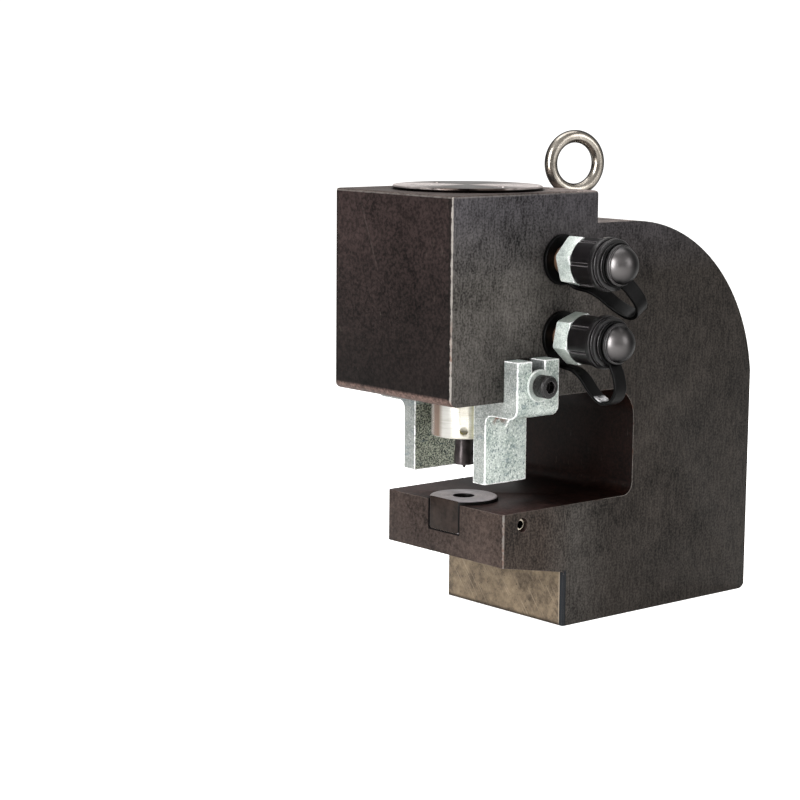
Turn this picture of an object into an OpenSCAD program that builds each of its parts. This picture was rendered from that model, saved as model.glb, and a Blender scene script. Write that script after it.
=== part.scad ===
// Hydraulic hole punch with a C-shaped frame and a double-acting ram.
// Millimetres. Z is up, the punch and die are at the -Y end, and the two
// oil couplings point along +X. The origin is the centre of the base's underside.

/* [Frame] */
// Width of the frame block along X
frame_w = 125; // [115:0.5:140]
// Length of the base that stands on the bench
base_len = 197.5; // [185:0.5:230]
// Thickness of the column behind the throat
column_depth = 128.75; // [120:0.25:150]
// Distance from the punch axis to the back of the throat
throat_depth = 110; // [106:0.5:125]
// Distance from the punch axis to the front of the head
head_reach = 70; // [66:0.5:80]
// Length of the head from its front face to the step behind it
head_len = 138.5; // [136:0.5:142]
// Distance from the punch axis to the flat front of the lower jaw
jaw_reach = 19; // [18:0.25:20]
// Height of the lower jaw's top face
jaw_top = 89; // [86:0.5:90]
// Height of the jaw's underside at its tip
jaw_tip_under = 51; // [46:0.5:54]
// Height of the jaw's underside where it meets the base
jaw_root_under = 40; // [34:0.5:44]
// Height of the head's underside
head_bottom = 169; // [168:0.25:170]
// Height of the shelf behind the head
shelf_top = 290; // [286:0.5:296]
// Height of the head's top face
head_top = 313; // [311:0.5:318]
// Radius of the large arc at the back
back_arc_r = 135.5; // [110:0.5:136]
// Radius of the throat's upper corner
throat_top_r = 22.5; // [10:0.5:30]
// Radius of the throat's lower corner
throat_low_r = 9; // [4:0.5:16]
// Radius of the head's lower front edge
head_lip_r = 7; // [3:0.5:9]
// Radius of the head's upper edges
head_top_r = 3; // [1:0.5:4]
// Radius of the base's rear lower edge
heel_r = 7; // [3:0.5:12]
// Broken edge down the front corners of the head
front_break = 1.25; // [0.5:0.25:3]
// Broken edge on the other long corners
side_break = 1; // [0.4:0.1:1.5]

/* [Cylinder] */
// Bore of the cylinder
bore_d = 90; // [84:0.5:92]
// Height of the bore's floor
bore_floor = 200; // [198:0.5:202]
// Diameter of the closing plug's thread
plug_thread_d = 98; // [96:0.5:102]
// Height of the shoulder below the plug's thread
plug_shoulder = 281; // [279:0.5:286]
// Height of the plug's inner face
plug_end = 270.5; // [270:0.1:272]
// Diameter of the plug's flange
plug_flange_d = 106.5; // [104:0.5:110]
// Thickness of the plug's flange
plug_flange_t = 3; // [2:0.25:5]
// Diameter of the two spanner holes in the plug
plug_spanner_d = 8; // [5:0.5:9]
// Distance between the two spanner holes
plug_spanner_pitch = 70; // [60:1:80]

/* [Ram] */
// Working stroke of the ram
stroke = 27; // [24:0.5:27]
// Height of the piston's top at rest
piston_top = 260.5; // [259:0.5:261]
// Thickness of the piston
piston_t = 20; // [19:0.5:22]
// Diameter of the rod
rod_d = 56; // [54:0.5:58]
// Height of the rod's lower face at rest
rod_bottom = 183; // [181:0.5:185]
// Diameter of the threaded stub that takes the punch nut
stub_d = 36; // [34:0.5:38]
// Height of the stub's lower face at rest
stub_bottom = 152; // [150:0.5:154]

/* [Gland] */
// Outer diameter of the gland bush
gland_d = 70; // [68:0.5:74]
// Thickness of the lip below the gland bush
gland_lip = 8; // [7:0.25:9]
// Outer diameter of the wiper ring
wiper_d = 67; // [64:0.5:70]
// Height of the wiper ring
wiper_h = 5.2; // [4:0.1:6]

/* [Punch and die] */
// Outer diameter of the punch nut
nut_d = 48.5; // [44:0.5:50]
// Height of the nut's lower face at rest
nut_bottom = 136.5; // [135:0.5:138]
// Diameter of the spanner holes round the nut
nut_hole_d = 6; // [4:0.5:7]
// Height of those holes above the nut's lower face
nut_hole_up = 6; // [5:0.5:7]
// Direction of the first spanner hole, from +X
nut_hole_turn = -43; // [-90:1:0]
// Diameter of the punch
punch_d = 14.6; // [12:0.1:15]
// How far the punch enters the die at full stroke
punch_entry = 3.6; // [2:0.2:5]
// Length of the centre pip below the cutting face
pip_h = 3; // [1.5:0.25:4]
// Outer diameter of the die
die_d = 49; // [46:0.5:50]
// Height of the die
die_h = 23.8; // [20:0.1:24]
// How far the die stands above the jaw
die_proud = 2.6; // [1:0.1:4]
// Diameter of the hole in the die
die_hole_d = 15.2; // [15.2:0.1:17]
// Radial gap round the die in its pocket
die_gap = 0.6; // [0.3:0.05:1]
// Diameter of the hole that lets the slugs fall through the jaw
slug_hole_d = 26; // [20:1:32]
// Diameter of the screw that locks the die
die_screw_d = 10; // [8:0.5:11]

/* [Strippers] */
// Width of each stripper along Y
stripper_w = 40; // [36:0.5:42]
// Height of the stripper's top at rest
stripper_top = 198; // [196:0.5:199]
// Distance from the centre plane to the inner face of a leg
leg_inner = 31.5; // [31:0.25:33]
// Thickness of a leg
leg_t = 12.5; // [11:0.25:14]
// Thickness of the web below the head
web_t = 11; // [10:0.25:12]
// How far a stripper stands out from the frame's side
stripper_out = 13.5; // [12:0.25:15]
// Depth of the groove that guides a stripper
groove_depth = 3; // [2:0.25:4]
// Width of the slot for the clamp screw
slot_w = 12; // [11:0.25:13]
// Height of the clamp screws' axis
clamp_z = 180.5; // [179:0.5:182]
// Diameter of the clamp screws' thread
clamp_d = 10; // [8:0.5:10.5]
// Diameter of the washer below a clamp screw
washer_d = 23; // [20:0.5:24]
// Thickness of that washer
washer_t = 2; // [1.5:0.1:2.5]
// How far a stripper can be slid down
stripper_travel = 15; // [8:1:16]

/* [Lifting eye] */
// Distance of the lifting eye behind the head's rear face
eye_back = 37.5; // [34:0.5:40]
// Outer diameter of the ring
eye_ring_d = 49; // [45:0.5:54]
// Thickness of the ring
eye_wire_d = 9.6; // [8:0.2:12]
// Height of the ring's centre above the shelf
eye_rise = 39; // [37:0.5:44]
// Diameter of the eye's seat
eye_seat_d = 28; // [24:0.5:30]
// Diameter of the eye's thread
eye_thread_d = 12; // [10:0.5:14]
// Turn of the ring about its thread
eye_turn = -16; // [-45:1:45]

/* [Oil couplings] */
// Distance of the couplings behind the punch axis
port_back = 33; // [28:0.5:34]
// Height of the return coupling, below the piston
port_low_z = 211.5; // [210:0.5:212]
// Height of the advance coupling, above the piston
port_high_z = 265.5; // [265:0.25:266]
// How much further out the upper coupling is screwed than the mean, and the lower one in
port_stagger = 0.8; // [0:0.1:1.5]
// Diameter of the coupling's screwed end
port_thread_d = 17; // [15:0.25:19]
// Depth of the coupling's screwed end in the frame
port_thread_len = 19; // [15:0.5:20]
// Width across the flats of the hexagon
hex_af = 32; // [30:0.5:33]
// Length of the hexagon
hex_len = 13.1; // [10:0.1:15]
// Distance from the frame's side to the hexagon
hex_out = 11.6; // [10:0.1:13]
// Outer diameter of the coupling's barrel below the cap
barrel_d = 26.8; // [25:0.2:28]

/* [Dust caps] */
// Outer diameter of the grooved skirt
skirt_d = 34.6; // [33:0.2:36]
// Outer diameter of the cap's rim
rim_d = 37.6; // [36:0.2:39]
// Diameter of the domed end
dome_d = 26; // [24:0.25:27]
// Height of the dome
dome_h = 9; // [6:0.25:11]
// Width of the rubber strap
strap_w = 11; // [8:0.5:13]
// Thickness of the rubber strap
strap_t = 2.4; // [1.6:0.1:3]
// Turn of the upper strap towards the rear, clear of the lower cap
strap_tilt = 32; // [31:1:45]

/* [Hidden] */
$fn = 96;

// Small working gaps
run_gap = 0.05;
thread_gap = 0.1;
seat_gap = 0.3;
seal_gap = 0.08;
face_gap = 0.02;
// How far a cut runs past a face
over = 1;

// Places along Y that follow from the frame's lengths
rear_y = base_len / 2;
throat_y = rear_y - column_depth;
punch_y = throat_y - throat_depth;
head_y = punch_y - head_reach;
step_y = head_y + head_len;
jaw_y = punch_y - jaw_reach;
side_x = frame_w / 2;
eye_y = step_y + eye_back;
port_y = punch_y + port_back;

// Cylinder, plug and ram
plug_edge = 0.5;
plug_spanner_deep = 7;
bore_r = bore_d / 2;
plug_r = plug_thread_d / 2;
rod_r = rod_d / 2;
piston_bottom = piston_top - piston_t;
piston_r = bore_r - run_gap;
piston_edge = 0.8;
spigot_r = bore_r - thread_gap;
o_ring_t = 3.5;
o_groove_r = bore_r - o_ring_t - seal_gap;
o_groove_w = 4.6;
plug_groove_z = (plug_shoulder + plug_end) / 2;
seal_w = 6;
seal_deep = 5;
guide_w = 4;
guide_deep = 2.5;
guide_z = piston_bottom + 2;
seal_z = guide_z + guide_w + 1.5;

// Gland
gland_r = gland_d / 2;
gland_shoulder = head_bottom + gland_lip;
gland_h = bore_floor - gland_shoulder;
gland_groove_r = gland_r - o_ring_t - seal_gap;
rod_seal_w = 6.5;
rod_seal_deep = 4.6;
rod_seal_z = gland_shoulder + gland_h / 2;
gland_o_z = gland_shoulder + 5;
rod_hole_r = rod_r + 0.6;
wiper_r = wiper_d / 2;
wiper_relief_r = rod_r + 1.4;
wiper_wall = 1.6;

// Punch nut and punch
nut_top = rod_bottom - 0.2;
punch_face = jaw_top + die_proud - punch_entry + stroke;
punch_head_d = 31;
punch_head_h = 7.2;
punch_head_z = stub_bottom - thread_gap - punch_head_h;
nut_hole_count = 4;
nut_hole_deep = 9;
nut_edge = 0.8;

// Die and its pocket
die_top = jaw_top + die_proud;
die_floor = die_top - die_h;
pocket_r = die_d / 2 + die_gap;
die_screw_z = die_floor + die_h / 2;
die_screw_recess = 3;
die_screw_key_deep = 5;
die_screw_len = side_x - die_d / 2 - die_screw_recess;
die_rim = 0.6;
die_foot = 1.2;
die_mouth = 0.4;
slug_relief_d = 18;
die_land_h = 8;

// Strippers and their screws
stripper_x = side_x + stripper_out;
groove_x = side_x - groove_depth;
stripper_clear = 0.6;
groove_top = stripper_top + stripper_clear;
foot_gap = 0.9;
stripper_foot = die_top + foot_gap + stripper_travel;
web_top = head_bottom - stripper_clear;
web_bottom = web_top - web_t;
leg_outer = leg_inner + leg_t;
leg_fillet_r = 6;
stripper_corner_r = 8;
leg_crown = 0.8;
gusset_w = 5;
gusset_out = 8;
gusset_drop = 11;
clamp_head_d = clamp_d * 1.6;
clamp_key = clamp_d * 0.8;
clamp_grip = 15;
clamp_x = stripper_x + washer_t;

// Lifting eye
eye_seat_cut = 1.2;
eye_seat_z = shelf_top - eye_seat_cut;
eye_seat_h = 6.5;
eye_thread_len = 24;
eye_tip_gap = 2;
eye_mean_r = (eye_ring_d - eye_wire_d) / 2;
eye_z = shelf_top + eye_rise;

// Couplings: lengths are from the frame's side
port_z = [port_high_z, port_low_z];
port_x = [side_x + port_stagger, side_x - port_stagger];
hex_turn = [13, -18];
cap_turn = [0, -24];
passage_d = 6;
port_depth = port_thread_len + 2;
port_spot_deep = port_stagger + seat_gap;
hex_end = hex_out + hex_len;
barrel_r = barrel_d / 2;
hex_edge = 0.8;
spigot_len = 8;
spigot_d = 21;
barrel_len = 17.3;
barrel_end = hex_end + barrel_len;
thread_pitch = 3.4;
thread_deep = 0.8;
thread_start = hex_end + 4.5;
nose_d = 19.4;
nose_len = 7;
nose_end = barrel_end + nose_len;
nose_wall = 5.5;
nose_edge = 0.6;
neck_d = 20;
chamber_r = 7;
chamber_start = 8;
chamber_end = nose_end - nose_wall;
valve_mouth_r = 4;
guide_disc_t = 3;
stem_r = 2.45;
valve_head_r = 6.2;
valve_cone_h = 3.5;
valve_cone_tip_r = 3.4;
valve_cone_in = 0.6;
valve_cone_x = chamber_end - valve_cone_h + valve_cone_in;
valve_head_t = 4.6;
valve_tip_r = 2.6;
valve_tip_x = nose_end - 0.7;
valve_groove_t = 2;
valve_groove_r = 5;
valve_groove_x = valve_cone_x - valve_groove_t - 0.8;
spring_wire_r = 0.6;
spring_mean_r = 4.9;
spring_curls = 7;
spring_rings = 8;
spring_sides = 6;
spring_start = chamber_start + guide_disc_t + seat_gap + spring_wire_r;
spring_end = valve_cone_x - valve_head_t - seat_gap - spring_wire_r;

// Dust cap: lengths are from the frame's side
cap_start = hex_end + seat_gap;
rim_t = 4.4;
collar_t = 2.5;
step_t = 2.2;
flange_t = 0.8;
strap_seat_t = 2.8;
dome_neck_t = 1.6;
dome_flat = 0.03;
cap_edge = 0.5;
skirt_len = 18.5;
rim_start = cap_start + skirt_len;
rim_end = rim_start + rim_t;
collar_start = rim_end + step_t;
collar_end = collar_start + collar_t;
step_r = rim_d / 2 - 2;
collar_r = rim_d / 2 - 0.8;
flange_r = dome_d / 2 + 1.8;
strap_seat_start = collar_end + flange_t;
strap_seat_end = strap_seat_start + strap_seat_t;
strap_seat_r = dome_d / 2 + 0.2;
bead_end = strap_seat_end + step_t;
bead_r = dome_d / 2 + 1.3;
dome_base = bead_end + dome_neck_t;
dome_end = dome_base + dome_h;
dome_ball_r = (dome_d * dome_d / 4 + dome_h * dome_h) / (2 * dome_h);
cap_groove_w = 2.2;
cap_groove_deep = 1.1;
cap_groove_end = 0.4;
cap_grooves = 6;

// Strap: distance from the frame's side, then height from the coupling's axis
strap_ring_t = 3;
strap_ring_d = 36;
strap_eye_d = 31.4;
strap_eye_t = 2.2;
strap_eye_x = (strap_seat_start + strap_seat_end) / 2;
strap_route = [
    [1.8, -16.4], [5.5, -19.8], [11, -21.2], [18, -22.2], [26, -26.5],
    [36, -36], [47, -42], [56, -39.5], [60.5, -32], [58.8, -22.5],
    [strap_eye_x, -14.6]
];
strap_steps = 5;

// Catmull-Rom point between b and c
function curve_point(a, b, c, d, t) =
    0.5 * (2 * b + (c - a) * t + (2 * a - 5 * b + 4 * c - d) * t * t
    + (3 * b - a - 3 * c + d) * t * t * t);
function route_at(route, i) = route[max(0, min(len(route) - 1, i))];
function smooth_route(route, steps) = [
    for (i = [0 : len(route) - 2], s = [0 : steps - 1])
        curve_point(route_at(route, i - 1), route_at(route, i),
            route_at(route, i + 1), route_at(route, i + 2), s / steps),
    route[len(route) - 1]
];
function unit2(v) = v / norm(v);
function across(p, i) =
    let (v = unit2(route_at(p, i + 1) - route_at(p, i - 1))) [-v[1], v[0]];
function ribbon_outline(p, t) = concat(
    [for (i = [0 : len(p) - 1]) p[i] + across(p, i) * t / 2],
    [for (i = [len(p) - 1 : -1 : 0]) p[i] - across(p, i) * t / 2]
);

// Rings of points along a helix whose axis is Z
function helix_point(r, z0, z1, turns, u) =
    [r * cos(360 * turns * u), r * sin(360 * turns * u), z0 + (z1 - z0) * u];
function helix_ring(r, z0, z1, turns, u, wire_r, sides) =
    let (c = helix_point(r, z0, z1, turns, u),
        out = [cos(360 * turns * u), sin(360 * turns * u), 0],
        run = [-2 * PI * r * turns * out[1], 2 * PI * r * turns * out[0], z1 - z0],
        up = cross(out, run / norm(run)))
    [for (k = [0 : sides - 1]) c + wire_r * (out * cos(360 * k / sides) - up * sin(360 * k / sides))];

// Shapes used by several pieces
module along_x(x0, y0, z0) {
    translate([x0, y0, z0]) rotate([0, 90, 0]) children();
}

module tube(r_out, r_in, h) {
    difference() {
        cylinder(h = h, r = r_out);
        translate([0, 0, -over]) cylinder(h = h + 2 * over, r = r_in);
    }
}

// A cylinder with both rims broken by the size b
module broken_cylinder(r, h, b) {
    rotate_extrude() polygon([[0, 0], [r - b, 0], [r, b], [r, h - b], [r - b, h], [0, h]]);
}

module o_ring(mean_r, wire_d) {
    rotate_extrude() translate([mean_r, 0]) circle(d = wire_d, $fn = 32);
}

module hexagon(af, h) {
    cylinder(h = h, d = af / cos(30), $fn = 6);
}

module mirrored() {
    children();
    mirror([1, 0, 0]) children();
}

// Frame outline in Y and Z
module outer_round(y, z, r, sy, sz) {
    difference() {
        translate([sy > 0 ? y - r : y - over, sz > 0 ? z - r : z - over]) square(r + over);
        translate([y - sy * r, z - sz * r]) circle(r);
    }
}

module inner_round(y, z, r, sy, sz) {
    difference() {
        translate([sy > 0 ? y - over : y - r, sz > 0 ? z - over : z - r]) square(r + over);
        translate([y + sy * r, z + sz * r]) circle(r);
    }
}

module frame_outline() {
    difference() {
        union() {
            translate([-base_len / 2, 0]) square([base_len, jaw_top]);
            translate([throat_y, 0]) square([column_depth, shelf_top]);
            translate([head_y, head_bottom]) square([throat_y - head_y + over, shelf_top - head_bottom]);
            translate([head_y, head_bottom]) square([head_len, head_top - head_bottom]);
            polygon([
                [jaw_y, jaw_tip_under], [-base_len / 2, jaw_root_under],
                [-base_len / 2 + over, jaw_root_under], [-base_len / 2 + over, jaw_top], [jaw_y, jaw_top]
            ]);
            inner_round(throat_y, jaw_top, throat_low_r, -1, 1);
            inner_round(throat_y, head_bottom, throat_top_r, -1, -1);
        }
        outer_round(rear_y, shelf_top, back_arc_r, 1, 1);
        outer_round(rear_y, 0, heel_r, 1, -1);
        outer_round(head_y, head_top, head_top_r, -1, 1);
        outer_round(step_y, head_top, head_top_r, 1, 1);
        outer_round(head_y, head_bottom, head_lip_r, -1, -1);
    }
}

// A flat bar across a long edge, to break it by the size b; turn is 45 at a front edge and -45 at a rear one
module edge_bar(b, h, turn) {
    rotate([0, 0, turn]) translate([-2 * b, -b / sqrt(2), 0]) cube([4 * b, b * sqrt(2), h]);
}

module broken_edges() {
    translate([side_x, head_y, head_bottom - over])
        edge_bar(front_break, head_top - head_bottom + 2 * over, 45);
    translate([side_x, jaw_y, jaw_root_under]) edge_bar(front_break, jaw_top, 45);
    translate([side_x, -base_len / 2, -over]) edge_bar(side_break, jaw_root_under - over, 45);
    translate([side_x, rear_y, -over]) edge_bar(side_break, shelf_top, -45);
    translate([side_x, head_y - over, head_top]) rotate([-90, 0, 0])
        edge_bar(side_break, head_len + 2 * over, 45);
}

module die_pocket() {
    translate([0, punch_y, die_floor]) cylinder(h = die_h + over, r = pocket_r);
    translate([0, punch_y, 0]) cylinder(h = jaw_top, d = slug_hole_d);
    along_x(0, punch_y, die_screw_z) cylinder(h = side_x + over, d = die_screw_d + 2 * thread_gap);
}

module cylinder_bores() {
    translate([0, punch_y, 0]) {
        translate([0, 0, bore_floor]) cylinder(h = head_top, r = bore_r);
        translate([0, 0, plug_shoulder]) cylinder(h = head_top, r = plug_r + thread_gap);
        translate([0, 0, gland_shoulder]) cylinder(h = gland_h + over, r = gland_r);
        translate([0, 0, head_bottom - over])
            cylinder(h = gland_shoulder - head_bottom + 2 * over, r = rod_hole_r);
        translate([0, 0, head_bottom - over]) cylinder(h = wiper_h + over + seat_gap, r = wiper_r);
    }
}

module port_bore(i) {
    along_x(0, port_y, port_z[i]) cylinder(h = side_x, d = passage_d);
    along_x(side_x - port_depth, port_y, port_z[i])
        cylinder(h = port_depth + over, d = port_thread_d + 2 * thread_gap);
    along_x(side_x - port_spot_deep, port_y, port_z[i])
        cylinder(h = port_spot_deep + over, d = neck_d + 2 * seat_gap);
}

module stripper_seats() {
    translate([groove_x, punch_y - stripper_w / 2 - seat_gap, head_bottom - over])
        cube([groove_depth + over, stripper_w + 2 * seat_gap, groove_top - head_bottom + over]);
    along_x(groove_x - clamp_grip - over, punch_y, clamp_z)
        cylinder(h = clamp_grip + 2 * over, d = clamp_d + 2 * thread_gap);
}

module eye_seat() {
    translate([0, eye_y, eye_seat_z]) cylinder(h = eye_seat_cut + over, d = eye_seat_d + 2);
    translate([0, eye_y, eye_seat_z - eye_thread_len - eye_tip_gap])
        cylinder(h = eye_thread_len + eye_tip_gap + over, d = eye_thread_d + 2 * thread_gap);
}

module frame() {
    color("#3b3836")
    difference() {
        rotate([90, 0, 90]) translate([0, 0, -side_x]) linear_extrude(frame_w) frame_outline();
        mirrored() broken_edges();
        mirrored() stripper_seats();
        cylinder_bores();
        die_pocket();
        eye_seat();
        for (i = [0, 1]) port_bore(i);
    }
}

// Cylinder
module cylinder_plug() {
    color("#5d5654")
    translate([0, punch_y, 0])
    difference() {
        union() {
            translate([0, 0, head_top]) rotate_extrude() polygon([
                [0, 0], [plug_flange_d / 2, 0], [plug_flange_d / 2, plug_flange_t - plug_edge],
                [plug_flange_d / 2 - plug_edge, plug_flange_t], [0, plug_flange_t]
            ]);
            translate([0, 0, plug_shoulder + plug_edge]) cylinder(h = head_top - plug_shoulder, r = plug_r);
            translate([0, 0, plug_end]) cylinder(h = plug_shoulder - plug_end + over, r = spigot_r);
        }
        translate([0, 0, plug_groove_z - o_groove_w / 2])
            tube(spigot_r + over, o_groove_r, o_groove_w);
        for (s = [-1, 1]) translate([s * plug_spanner_pitch / 2, 0, head_top - plug_spanner_deep])
            cylinder(h = 2 * plug_spanner_deep, d = plug_spanner_d);
    }
}

module plug_o_ring() {
    color("#202020")
    translate([0, punch_y, plug_groove_z]) o_ring(bore_r - o_ring_t / 2 - seal_gap / 2, o_ring_t - seal_gap);
}

module ram() {
    color("#a9a9a6")
    translate([0, punch_y, 0])
    difference() {
        union() {
            translate([0, 0, piston_bottom]) broken_cylinder(piston_r, piston_t, piston_edge);
            translate([0, 0, rod_bottom]) cylinder(h = piston_top - rod_bottom - over, r = rod_r);
            translate([0, 0, stub_bottom]) cylinder(h = rod_bottom - stub_bottom + over, d = stub_d);
        }
        translate([0, 0, seal_z]) tube(piston_r + over, piston_r - seal_deep, seal_w);
        translate([0, 0, guide_z]) tube(piston_r + over, piston_r - guide_deep, guide_w);
    }
}

// A ring with a V cut into its upper face, as a lip seal has
module lip_ring(r_out, r_in, h) {
    wall = r_out - r_in;
    rotate_extrude() polygon([
        [r_in, 0], [r_out, 0], [r_out, h], [r_out - wall * 0.2, h],
        [r_in + wall * 0.5, h * 0.5], [r_in + wall * 0.2, h], [r_in, h]
    ]);
}

module piston_seal() {
    color("#7a3b22")
    translate([0, punch_y, seal_z + seal_gap])
        lip_ring(piston_r, piston_r - seal_deep + seal_gap, seal_w - 2 * seal_gap);
}

module piston_guide_ring() {
    color("#9b7a3c")
    translate([0, punch_y, guide_z + seal_gap])
        tube(piston_r, piston_r - guide_deep + seal_gap, guide_w - 2 * seal_gap);
}

module gland_bush() {
    color("#b08a4a")
    translate([0, punch_y, 0])
    difference() {
        translate([0, 0, gland_shoulder]) tube(gland_r - run_gap, rod_r + run_gap, gland_h - 0.1);
        translate([0, 0, rod_seal_z]) cylinder(h = rod_seal_w, r = rod_r + rod_seal_deep);
        translate([0, 0, gland_o_z - o_groove_w / 2])
            tube(gland_r + over, gland_groove_r, o_groove_w);
    }
}

module gland_o_ring() {
    color("#202020")
    translate([0, punch_y, gland_o_z]) o_ring(gland_r - o_ring_t / 2 - seal_gap / 2, o_ring_t - seal_gap);
}

module rod_seal() {
    color("#7a3b22")
    translate([0, punch_y, rod_seal_z + seal_gap])
        lip_ring(rod_r + rod_seal_deep - seal_gap, rod_r + run_gap, rod_seal_w - 2 * seal_gap);
}

module rod_wiper() {
    color("#25302f")
    translate([0, punch_y, head_bottom + seat_gap])
    difference() {
        tube(wiper_r - seal_gap, rod_r + run_gap, wiper_h);
        translate([0, 0, -over]) tube(wiper_r - wiper_wall, wiper_relief_r, over + wiper_wall);
    }
}

// Punch
module punch_nut() {
    color("#d7d3c6")
    translate([0, punch_y, 0])
    difference() {
        translate([0, 0, nut_bottom]) broken_cylinder(nut_d / 2, nut_top - nut_bottom, nut_edge);
        translate([0, 0, nut_bottom - over]) cylinder(h = nut_top, d = punch_d + 1.4);
        translate([0, 0, punch_head_z - thread_gap]) cylinder(h = nut_top, d = punch_head_d + 1);
        translate([0, 0, stub_bottom]) cylinder(h = nut_top, d = stub_d + 2 * thread_gap);
        for (k = [0 : nut_hole_count - 1])
            translate([0, 0, nut_bottom + nut_hole_up])
                rotate([0, 90, nut_hole_turn + 360 * k / nut_hole_count])
                translate([0, 0, nut_d / 2 - nut_hole_deep]) cylinder(h = 2 * nut_hole_deep, d = nut_hole_d);
    }
}

module punch() {
    relief = 0.5;
    land = 9;
    color("#2b2726")
    translate([0, punch_y, 0]) rotate_extrude() polygon([
        [0, punch_face - pip_h], [0.6, punch_face - pip_h], [1.5, punch_face - 1], [1.5, punch_face],
        [punch_d / 2, punch_face], [punch_d / 2, punch_face + land],
        [punch_d / 2 - relief, punch_face + land + 2], [punch_d / 2 - relief, punch_head_z - 2],
        [punch_d / 2, punch_head_z], [punch_head_d / 2, punch_head_z],
        [punch_head_d / 2, punch_head_z + punch_head_h], [0, punch_head_z + punch_head_h]
    ]);
}

module die() {
    color("#8f8a92")
    difference() {
        translate([0, punch_y, die_floor]) rotate_extrude() polygon([
            [die_hole_d / 2, die_h - die_mouth], [die_hole_d / 2 + die_mouth, die_h],
            [die_d / 2 - die_rim, die_h], [die_d / 2, die_h - die_rim],
            [die_d / 2, die_foot], [die_d / 2 - die_foot, 0],
            [slug_relief_d / 2, 0], [slug_relief_d / 2, die_h - die_land_h - 1],
            [die_hole_d / 2, die_h - die_land_h]
        ]);
        translate([-die_d, jaw_y - die_d, die_floor - over]) cube([2 * die_d, die_d, die_h + 2 * over]);
    }
}

module die_lock_screw() {
    color("#b99a5b")
    along_x(die_d / 2 + 0.15, punch_y, die_screw_z)
    difference() {
        rotate_extrude() polygon([
            [0, 0], [die_screw_d * 0.3, 0], [die_screw_d * 0.35, 1.5], [die_screw_d / 2, 3],
            [die_screw_d / 2, die_screw_len - 0.8], [die_screw_d / 2 - 0.8, die_screw_len], [0, die_screw_len]
        ]);
        translate([0, 0, die_screw_len - die_screw_key_deep])
            hexagon(die_screw_d / 2, die_screw_key_deep + over);
    }
}

// Strippers
module stripper_outline() {
    difference() {
        union() {
            translate([leg_inner, stripper_foot]) square([leg_t, web_top - stripper_foot]);
            translate([leg_inner, web_bottom]) square([stripper_x - leg_inner, web_t]);
            translate([groove_x + 0.1, web_bottom])
                square([stripper_x - groove_x - 0.1, stripper_top - web_bottom]);
            inner_round(leg_outer, web_bottom, leg_fillet_r, 1, -1);
        }
        outer_round(stripper_x, web_bottom, stripper_corner_r, 1, -1);
        outer_round(leg_inner, web_top, 2, -1, 1);
    }
}

module stripper() {
    difference() {
        union() {
            translate([0, punch_y + stripper_w / 2, 0]) rotate([90, 0, 0])
                linear_extrude(stripper_w) stripper_outline();
            translate([0, punch_y, stripper_foot]) linear_extrude(web_bottom - stripper_foot - leg_fillet_r)
                polygon([[leg_outer - over, stripper_w / 2], [leg_outer, stripper_w / 2],
                    [leg_outer + leg_crown, 0], [leg_outer, -stripper_w / 2],
                    [leg_outer - over, -stripper_w / 2]]);
            translate([0, punch_y + gusset_w / 2, 0]) rotate([90, 0, 0]) linear_extrude(gusset_w)
                polygon([[leg_outer - over, web_bottom + over], [leg_outer + gusset_out, web_bottom + over],
                    [leg_outer + gusset_out, web_bottom], [leg_outer + leg_crown, web_bottom - gusset_drop],
                    [leg_outer - over, web_bottom - gusset_drop]]);
        }
        along_x(groove_x - over, punch_y, clamp_z)
            cylinder(h = stripper_out + groove_depth + 2 * over, d = slot_w);
        translate([groove_x - over, punch_y - slot_w / 2, clamp_z])
            cube([stripper_out + groove_depth + 2 * over, slot_w, stripper_top]);
    }
}

module stripper_right() {
    color("#b9c0bd") stripper();
}

module stripper_left() {
    color("#b9c0bd") mirror([1, 0, 0]) stripper();
}

module stripper_washers() {
    color("#c9cbc6")
    mirrored() along_x(stripper_x + face_gap, punch_y, clamp_z)
        tube(washer_d / 2, clamp_d / 2 + 0.4, washer_t - 2 * face_gap);
}

module stripper_screws() {
    color("#1f1f20")
    mirrored() difference() {
        union() {
            along_x(groove_x - clamp_grip, punch_y, clamp_z)
                cylinder(h = clamp_x - groove_x + clamp_grip + 0.5, d = clamp_d);
            along_x(clamp_x, punch_y, clamp_z) broken_cylinder(clamp_head_d / 2, clamp_d, 0.9);
        }
        along_x(clamp_x + clamp_d / 2, punch_y, clamp_z) hexagon(clamp_key, clamp_d);
    }
}

// Lifting eye
module lifting_eye() {
    neck_r = eye_wire_d * 0.9;
    neck_h = eye_z - eye_mean_r - eye_seat_z - eye_seat_h;
    color("#c9c6c0")
    translate([0, eye_y, 0]) rotate([0, 0, eye_turn]) {
        translate([0, 0, eye_z]) rotate([0, 90, 0])
            rotate_extrude() translate([eye_mean_r, 0]) circle(d = eye_wire_d);
        translate([0, 0, eye_seat_z - eye_thread_len]) cylinder(h = eye_thread_len + over, d = eye_thread_d);
        translate([0, 0, eye_seat_z]) broken_cylinder(eye_seat_d / 2, eye_seat_h, 0.8);
        translate([0, 0, eye_seat_z + eye_seat_h - over])
            cylinder(h = neck_h + over, r1 = neck_r, r2 = eye_wire_d / 2);
    }
}

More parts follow.
